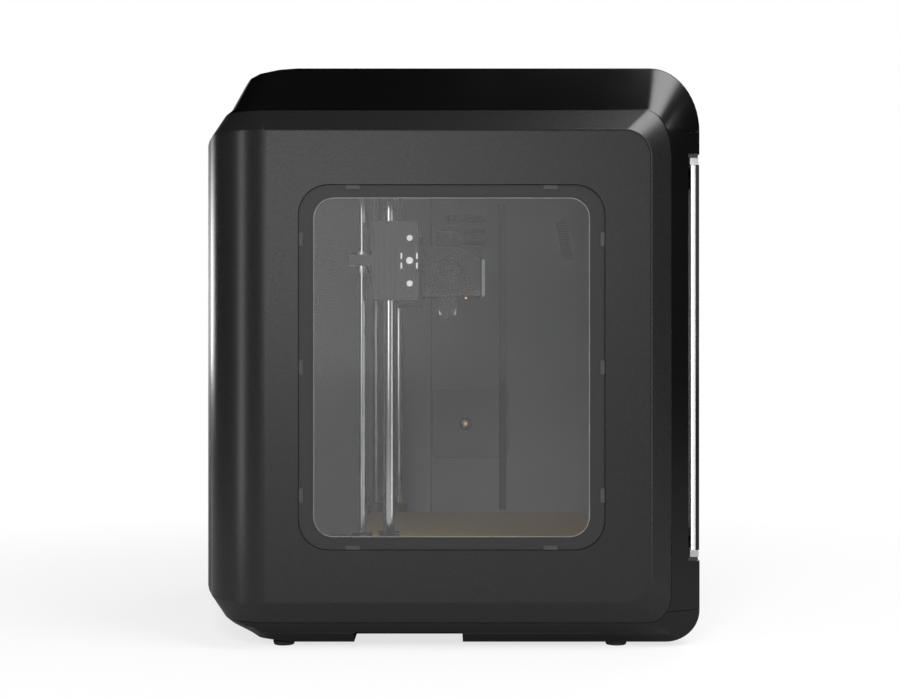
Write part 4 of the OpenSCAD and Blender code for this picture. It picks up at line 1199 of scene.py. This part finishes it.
def lead_screw(node, name):
    x, y, radius, low_z, high_z = middle_of(node)
    parts = [rod(name, radius - RIDGE, (x, y, low_z), (x, y, high_z), 24)]
    turns = int((high_z - low_z - 2 * SMOOTH_END) / LEAD)
    for start in range(STARTS):
        parts.append(thread(x, y, radius, low_z + SMOOTH_END + start * LEAD / STARTS, turns))
    for z in (low_z, high_z - SMOOTH_END):
        parts.append(soften(rod("end", radius, (x, y, z), (x, y, z + SMOOTH_END), 32), 0.5 * MM))
    screw = join(name, *parts)
    edit(screw, "FACE")
    face_outwards()
    return dress(smooth(screw, weighted=False), SCREW_STEEL, body_of(node), node)


screws = [lead_screw("left_lead_screw", "left_thread"), lead_screw("right_lead_screw", "right_thread")]
print("thread faces:", [len(s.data.polygons) for s in screws])

# %% [markdown]
# ## Couplings, X ends and their fasteners
# Each coupling is a turned sleeve with a ring groove and a cap screw near both ends. The X ends are
# moulded blocks. White discs over the rods' ends are painted highlights, for the glints on the steel ends.

# %% Couplings
LEFTWARDS = (-1, 0, 0)


def cap_screw(name, centre, axis, radius=2.2 * MM, height=1.6 * MM):
    """A cap screw's head with its hexagon socket, facing along axis."""
    centre, axis = Vector(centre), Vector(axis)
    head = rod(name, radius, centre, centre + axis * height, 24)
    edit(head, "FACE")
    pick_faces(head, lambda c, n: n.dot(axis) > 0.9)
    bpy.ops.mesh.inset(thickness=radius * 0.35, depth=0)
    bpy.ops.mesh.inset(thickness=radius * 0.04, depth=-height * 0.55)
    done()
    return soften(head, 0.18 * MM)


def coupling(node, name):
    x, y, radius, low_z, high_z = middle_of(node)
    shaft_top = high_z - 32 * MM
    sleeve = rod(name, radius, (x, y, shaft_top), (x, y, high_z), 64)
    for z in (shaft_top + 8 * MM, high_z - 8 * MM):
        groove = rod("groove", radius + MM, (x, y, z - 0.6 * MM), (x, y, z + 0.6 * MM), 48)
        cut(groove, rod("core", radius - 1.2 * MM, (x, y, z - MM), (x, y, z + MM), 48))
        cut(sleeve, groove)
    cut(sleeve, rod("bore", 4.05 * MM, (x, y, high_z - 16 * MM), (x, y, high_z + MM), 32))
    soften(sleeve, 0.4 * MM)
    heads = [cap_screw("head", (x - radius + 0.4 * MM, y, z), LEFTWARDS)
             for z in (shaft_top + 4 * MM, high_z - 4 * MM)]
    shaft = rod("shaft", 2.5 * MM, (x, y, low_z), (x, y, shaft_top + MM), 24)
    piece = join(name, sleeve, shaft, *heads)
    piece.data.materials.clear()
    return dress(piece, DARK_STEEL, body_of(node), node)


for node, name in (("left_coupler", "left_coupling"), ("right_coupler", "right_coupling")):
    print(name, "faces:", len(coupling(node, name).data.polygons))

# %% X ends, with white discs over the rods' ends as painted highlights, and screws at the corners
for node in ("left_x_end", "right_x_end"):
    eased(node, BLOCK, 0.45 * MM)
rods_low, rods_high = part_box("x_rods")
ROD_R = 4 * MM
end_low, end_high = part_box("left_x_end")
rod_y = (rods_low.y + rods_high.y) / 2
rod_zs = (rods_low.z + ROD_R, rods_high.z - ROD_R)
glint_discs = []
for z in rod_zs:
    glint_disc = rod("glint_disc", 2.8 * MM, (end_low.x - 0.5 * MM, rod_y, z), (end_low.x + 1.4 * MM, rod_y, z), 32)
    glint_discs.append(soften(glint_disc, 0.4 * MM, 3))
dress(join("rod_end_glint_discs", *glint_discs), GLINT_WHITE, "gantry")
corner_screws = [cap_screw("screw", (end_low.x, y, z), LEFTWARDS, 1.7 * MM, 1.2 * MM)
                 for y in (end_low.y + 20 * MM, end_low.y + 40 * MM)
                 for z in (end_low.z + 4 * MM, end_high.z - 4 * MM)]
dress(join("x_end_screws", *corner_screws), DARK_STEEL, "gantry")
print("plugs and screws:", len(glint_discs) + len(corner_screws))

# %% [markdown]
# ## The toolhead
# A black moulded cover with a chamfered front, a round vent with a finned wheel in it, a silver
# heat-sink plate at the front and a duct that blows on the print. The cover starts as a block: its
# chamfer is made by bisecting, and its panel lines and seats are cut afterwards.

# %% Toolhead cover
head_low, head_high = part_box("toolhead_cover")
wheel_low, wheel_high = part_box("fan_impeller")
FAN_Y = (wheel_low.y + wheel_high.y) / 2
FAN_Z = (wheel_low.z + wheel_high.z) / 2
FAN_R = 13.7 * MM
CHAMFER = (21.6 * MM, 12 * MM)
HEAD_WALL = 7 * MM
LATCH_GAP = 0.5 * MM
LINE_HALF = 0.3 * MM
near_x = head_low.x

head = block("head_cover", head_low, head_high)
edit(head, "FACE")
pick_all()
bpy.ops.mesh.bisect(plane_co=(0, head_low.y + CHAMFER[0], head_high.z),
                    plane_no=(0, -CHAMFER[1], CHAMFER[0]), use_fill=True, clear_outer=True)
done()
use(head, "BEVEL", width=1.6 * MM, segments=4, limit_method="ANGLE", angle_limit=math.radians(20))
room = block("room", (head_low.x + HEAD_WALL, head_low.y + 6.6 * MM, head_low.z - MM),
             (head_high.x - HEAD_WALL, head_high.y - 3 * MM, head_high.z - 8 * MM))
cut(head, room)
cut(head, rod("seat", FAN_R - 1.2 * MM, (near_x - MM, FAN_Y, FAN_Z), (near_x + 8 * MM, FAN_Y, FAN_Z), 64))
ring = rod("ring", FAN_R + 1.1 * MM, (near_x - MM, FAN_Y, FAN_Z), (near_x + 0.5 * MM, FAN_Y, FAN_Z), 64)
cut(ring, rod("core", FAN_R + 0.3 * MM, (near_x - 2 * MM, FAN_Y, FAN_Z), (near_x + MM, FAN_Y, FAN_Z), 64))
cut(head, ring)
latch_low, latch_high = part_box("release_latch")
cut(head, block("latch_seat", (near_x - MM, latch_low.y - LATCH_GAP, head_low.z - MM),
                (near_x + 6 * MM, latch_high.y + LATCH_GAP, latch_high.z + 0.6 * MM)))
for y, low_z, high_z in ((head_high.y - 9 * MM, head_low.z - MM, head_high.z + MM),
                         (head_low.y + 24 * MM, head_high.z - 7 * MM, head_high.z + MM)):
    cut(head, block("line", (near_x - MM, y - LINE_HALF, low_z), (near_x + 0.6 * MM, y + LINE_HALF, high_z)))
smooth(head)
head_screws = [cap_screw("screw", (near_x, head_high.y - 5 * MM, z), LEFTWARDS, 1.6 * MM, 0.7 * MM)
               for z in (head_high.z - 5 * MM, head_low.z + 6 * MM)]
dress(head, HEAD, "toolhead", "toolhead_cover")
dress(join("head_screws", *head_screws), DARK_STEEL, "toolhead")
print("head faces:", len(head.data.polygons))

# %% Fan wheel: one fin, spun round the hub
wheel_x = near_x + 0.5 * MM
FINS = 18
fin = block("fan_wheel", (wheel_x + 0.5 * MM, FAN_Y - 0.35 * MM, FAN_Z + 3 * MM),
            (wheel_x + 5.5 * MM, FAN_Y + 0.35 * MM, FAN_Z + FAN_R - 2 * MM))
edit(fin, "FACE")
pick_faces(fin, lambda c, n: n.z > 0.9)
bpy.ops.transform.translate(value=(0, 1.6 * MM, 0))
pick_all()
bpy.ops.mesh.spin(dupli=True, steps=FINS, angle=FULL_TURN, center=(wheel_x, FAN_Y, FAN_Z), axis=(1, 0, 0))
merge_points(0.01 * MM)
done()
hub = soften(rod("hub", 4 * MM, (wheel_x, FAN_Y, FAN_Z), (wheel_x + 6 * MM, FAN_Y, FAN_Z), 40), 0.9 * MM, 4)
disc = rod("disc", FAN_R - 1.7 * MM, (wheel_x + 5 * MM, FAN_Y, FAN_Z),
           (wheel_x + 6.3 * MM, FAN_Y, FAN_Z), 64)
wheel = join("fan_wheel", fin, hub, disc)
wheel.data.materials.clear()
dress(smooth(wheel), FITTING, "fan", "fan_impeller")

# %% The silver plate, the duct, the latch, the connector box and the clip
plate_low, plate_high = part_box("front_heatsink_plate")
plate = soften(block("heatsink_plate", plate_low, plate_high), 0.4 * MM)
for step in row(5, 7, 7):
    x = plate_low.x + step
    cut(plate, soft_block("flute", (x, plate_low.y - MM, plate_low.z + 4 * MM),
                          (x + 3 * MM, plate_low.y + 1.6 * MM, plate_high.z - 4 * MM), 1, 1.4 * MM, 5))
dress(smooth(plate), PLATED, "toolhead", "front_heatsink_plate")
duct = eased("fan_duct", HEAD, 0.5 * MM)
tip_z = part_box("fan_duct")[0].z + 8 * MM
# Painted shade: the duct's tip is painted dark.
paint_faces(duct, PAINTED_SHADE, lambda c, n: c.z < tip_z)
latch = soft_block("latch_button", latch_low, latch_high, 0, 1.2 * MM, 5)
sink(latch, faces_left, 1.1 * MM, 0.5 * MM)
dress(soften(latch, 0.25 * MM), FITTING, "latch", "release_latch")
eased("connector_box", FITTING, 0.6 * MM)
clip = soft_block("cable_clip", (near_x + 2 * MM, -26 * MM, head_low.z - 2.6 * MM),
                  (near_x + 9 * MM, -23.5 * MM, head_low.z), 0, 0.5 * MM, 3)
dress(soften(clip, 0.2 * MM), BRASS, "toolhead")
print("toolhead pieces are dressed")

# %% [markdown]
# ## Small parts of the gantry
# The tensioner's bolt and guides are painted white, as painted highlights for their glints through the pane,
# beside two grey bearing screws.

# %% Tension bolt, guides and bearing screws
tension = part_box("belt_tensioner")
belt_mid_z = (rod_zs[0] + rod_zs[1]) / 2
outer_x = min(tension[0].x, end_low.x)
# Painted highlight: the bolt and the guides are white for their glints.
bolt = soften(rod("tension_bolt", 3.3 * MM, (outer_x - 1.2 * MM, rod_y, belt_mid_z),
                  (outer_x + MM, rod_y, belt_mid_z), 32), 0.4 * MM)
dress(bolt, GLINT_WHITE, "gantry")
strips = []
for y in (end_low.y + 0.3 * MM, end_low.y + 15 * MM):
    for z in (belt_mid_z - 7.6 * MM, belt_mid_z + 1.6 * MM):
        strips.append(soft_block("strip", (outer_x - 0.4 * MM, y, z),
                                 (outer_x + 0.4 * MM, y + 1.6 * MM, z + 5.6 * MM), 0, 0.4 * MM, 3))
dress(soften(join("tensioner_guides", *strips), 0.12 * MM), GLINT_WHITE, "gantry")
screw_y = end_high.y - 16 * MM
bearing_screws = []
for z in (end_low.z + 6 * MM, end_high.z - 9 * MM):
    screw = rod("screw", 1.6 * MM, (end_low.x - 0.2 * MM, screw_y, z),
                (end_low.x + 0.6 * MM, screw_y, z), 24)
    bearing_screws.append(soften(screw, 0.3 * MM))
dress(join("bearing_screws", *bearing_screws), FITTING, "gantry")

# %% A second copy of the rod sockets, with a slightly larger radius
sockets = eased("z_rod_sockets", BLOCK, 0.8 * MM)
print("socket faces:", len(sockets.data.polygons))

# %% [markdown]
# ## Door
# The door is a smoked sheet behind a black glossy face. It turns on pins inside square metal caps
# at two of its corners. Seen edge-on, the sheet's edge is painted white and light grey with a faint glow:
# painted light where the edge catches it.

# %% Door sheet, face and caps
def door_glass(name):
    finish = Finish(name, (0.020, 0.020, 0.021), 0.08)
    drift = finish.noise(5, 3)
    finish.set("Alpha", 0.80 + (drift - 0.5) * 0.06)
    finish.set("Roughness", 0.08 + finish.noise(50, 3) * 0.06)
    return finish


# Painted light: a pale colour with a faint glow for an edge that catches the light. The saw marks in it are
# real.
def painted_glow_edge(name, color):
    finish = Finish(name, color, 0.4)
    saw = finish.noise(1, 3, finish.stretched((300, 300, 1400)))
    finish.set("Base Color", finish.blend(saw, shade(color, 0.88), color))
    finish.set("Roughness", 0.34 + saw * 0.2)
    finish.set("Emission Color", finish.blend(saw, shade(color, 0.9), color))
    finish.set("Emission Strength", 0.25)
    return finish


DOOR_GLASS = door_glass("door_glass")
GLOW_EDGE_WHITE = painted_glow_edge("edge_painted_glow_white", (0.86, 0.86, 0.86))
GLOW_EDGE_GREY = painted_glow_edge("edge_painted_glow_grey", (0.50, 0.50, 0.505))
DOOR_FACE = gloss_plastic("door_face_black", (0.006, 0.006, 0.0065), 0.12)
door_sheet = eased("door_pane", DOOR_GLASS, 0)
edit(door_sheet, "FACE")
pick_all()
door_mid = (pane_box[0].y + pane_box[1].y) / 2
bpy.ops.mesh.bisect(plane_co=(0, door_mid, 0), plane_no=(0, 1, 0))
done()
# Painted light: the back half of the edge is white, the front half light grey.
paint_faces(door_sheet, GLOW_EDGE_WHITE, lambda c, n: abs(n.y) < 0.5 and c.y > door_mid)
paint_faces(door_sheet, GLOW_EDGE_GREY, lambda c, n: abs(n.y) < 0.5 and c.y < door_mid)
door_front = eased("door_face", DOOR_FACE, 0.35 * MM)
eased("door_hinge_caps", NICKEL, 0.4 * MM)
print("door faces:", len(door_sheet.data.polygons) + len(door_front.data.polygons))

# %% [markdown]
# ## Touch screen
# A glass front, set in the casing. The screen shows a plain, generic page.

# %% Touch screen
def screen_glass():
    finish = Finish("screen_glass", (0.006, 0.007, 0.009), 0.07)
    across, up = finish.axis("X"), finish.axis("Z")
    mid_z = (screen_box[0].z + screen_box[1].z) / 2
    page_x = 1 - (across - screen_mid).size().above(22 * MM)
    page_z = 1 - (up - mid_z).size().above(41 * MM)
    rows = ((up - mid_z) * (FULL_TURN / (20.5 * MM)) - math.pi / 2).wave().above(-0.6)
    columns = ((across - screen_mid) * (FULL_TURN / (22 * MM)) - math.pi / 2).wave().above(-0.7)
    page = rows * columns * page_x * page_z * 0.6
    finish.set("Base Color", finish.blend(page, (0.006, 0.007, 0.009), (0.05, 0.07, 0.09)))
    finish.set("Roughness", 0.06 + finish.noise(20, 4) * 0.08)
    return finish


screen = eased("touch_screen", screen_glass(), 0.5 * MM)
print("screen faces:", len(screen.data.polygons))

# %% [markdown]
# ## Spool bay
# The spool is two flanges with round windows, joined by a core. The filament on it is wound in
# coils, so its outside is a stack of rounded ridges: one profile, spun round the spool's axis.

# %% Spool, wound filament and the bay's door
spool_low, spool_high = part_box("spool")
spool_mid = (spool_low + spool_high) / 2
eased("spool", SPOOL_GREY, 0.5 * MM)
wound_low, wound_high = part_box("filament")
INNER_R = 38.2 * MM
COIL = 1.75 * MM
COIL_RISE = COIL * 0.4
COIL_STEPS = 4
outer_r = wound_high.z - spool_mid.z
steps = int((wound_high.x - wound_low.x) / COIL) * COIL_STEPS
profile = [(wound_low.x, spool_mid.y, spool_mid.z + INNER_R)]
for i in range(steps + 1):
    x = wound_low.x + (wound_high.x - wound_low.x) * i / steps
    rise = abs(math.sin(math.pi * i / COIL_STEPS)) * COIL_RISE
    profile.append((x, spool_mid.y, spool_mid.z + outer_r - COIL_RISE + rise))
profile.append((wound_high.x, spool_mid.y, spool_mid.z + INNER_R))
wound = trace("wound_filament", profile)
edit(wound, "FACE")
keep_outline()
pick_all()
bpy.ops.mesh.spin(steps=96, angle=FULL_TURN, center=tuple(spool_mid), axis=(1, 0, 0))
merge_points(0.01 * MM)
face_outwards()
WHITE_FILAMENT = gloss_plastic("white_filament", (0.80, 0.80, 0.79), 0.3)
dress(smooth(wound, 60, weighted=False), WHITE_FILAMENT, "spool_body", "filament")
eased("spool_bay_door", SIDE, 0.4 * MM)
print("wound faces:", len(wound.data.polygons))

# %% [markdown]
# ## Feet, chamber fittings and the mains inlet
# The rubber feet get a well-rounded edge. The chamber holds a lens cover, a lamp bar and a filter frame.

# %% Feet
feet = eased("feet", FOOT_RUBBER, 0.8 * MM, 3)
print("feet faces:", len(feet.data.polygons))

# %% Chamber fittings: cover, black ring, brass iris and lamp
def lens_glass():
    finish = Finish("lens_glass", (0.01, 0.012, 0.02), 0.04)
    coating = finish.noise(60, 2)
    finish.set("Base Color", finish.blend(coating, (0.008, 0.010, 0.018), (0.03, 0.02, 0.05)))
    finish.set("Coat Weight", 0.6 + coating * 0.4)
    return finish


def lamp_cover():
    finish = Finish("lamp_cover", (0.05, 0.05, 0.05), 0.5)
    ribs = (finish.axis("Z") * (FULL_TURN / (3 * MM))).wave()
    # Painted shade: the rib troughs are a touch darker and the crests a touch lighter.
    finish.set("Base Color", finish.blend(ribs * 0.5 + 0.5, (0.045, 0.045, 0.045), (0.055, 0.055, 0.055)))
    finish.bump(ribs, 0.2 * MM, 0.4)
    return finish


LENS = lens_glass()
COVER_GREY = powder_coat("lens_cover_grey", (0.13, 0.1305, 0.131), 0.65)
LAMP = lamp_cover()
fittings = eased("chamber_fittings", COVER_GREY, 0, flat=0.01)
LENS_AT = (-26.4 * MM, 191.3 * MM)
LENS_DEEP, LENS_NEAR = PARTITION_X - 2.3 * MM, PARTITION_X - 2.1 * MM
LAMP_FRONT = -125 * MM
paint_faces(fittings, LENS, lambda c, n: (
    LENS_DEEP < c.x < LENS_NEAR and math.dist((c.y, c.z), LENS_AT) < 5.5 * MM))
paint_faces(fittings, LAMP, lambda c, n: c.y < LAMP_FRONT and faces_left(c, n))
ring = rod("lens_ring", 7.4 * MM, (PARTITION_X - 2.9 * MM, *LENS_AT), (PARTITION_X - 1.2 * MM, *LENS_AT), 48)
cut(ring, rod("core", 5.4 * MM, (PARTITION_X - 4 * MM, *LENS_AT), (PARTITION_X, *LENS_AT), 48))
dress(soften(ring, 0.3 * MM), BLOCK, "root")
iris = rod("lens_iris", 2.6 * MM, (PARTITION_X - 2.6 * MM, *LENS_AT), (PARTITION_X - 1.8 * MM, *LENS_AT), 32)
dress(soften(iris, 0.3 * MM), BRASS, "root")

# %% Painted shadow: a dark liner round the lens cover, and a dark strip where the sheet's groove crosses the cover
gap = soft_block("cover_shadow_liner", (PARTITION_X - 0.3 * MM, -77.3 * MM, 151.4 * MM),
                 (PARTITION_X + 0.5 * MM, 12.5 * MM, 230.6 * MM), 0, 7.6 * MM, 8)
groove = block("groove_shadow_strip", (PARTITION_X - 2.75 * MM, -74.5 * MM, 152.4 * MM),
               (PARTITION_X - 2.3 * MM, -65.9 * MM, 229.6 * MM))
dress(soften(join("cover_shadow_lines", gap, groove), 0.1 * MM), PAINTED_SHADE, "root")

# %% Mains inlet pins and the rocker
PIN_AT = ((0, 105), (-3.6, 94), (3.6, 94))
pins = [soft_block("pin", (POCKET_MID + (x - 1) * MM, POCKET_Y - 12 * MM, (z - 2.2) * MM),
                   (POCKET_MID + (x + 1) * MM, POCKET_Y - 2 * MM, (z + 2.2) * MM), 1, 0.4 * MM, 3)
        for x, z in PIN_AT]
dress(join("inlet_pins", *pins), NICKEL, "root")
eased("power_rocker", CASING, 0.5 * MM)
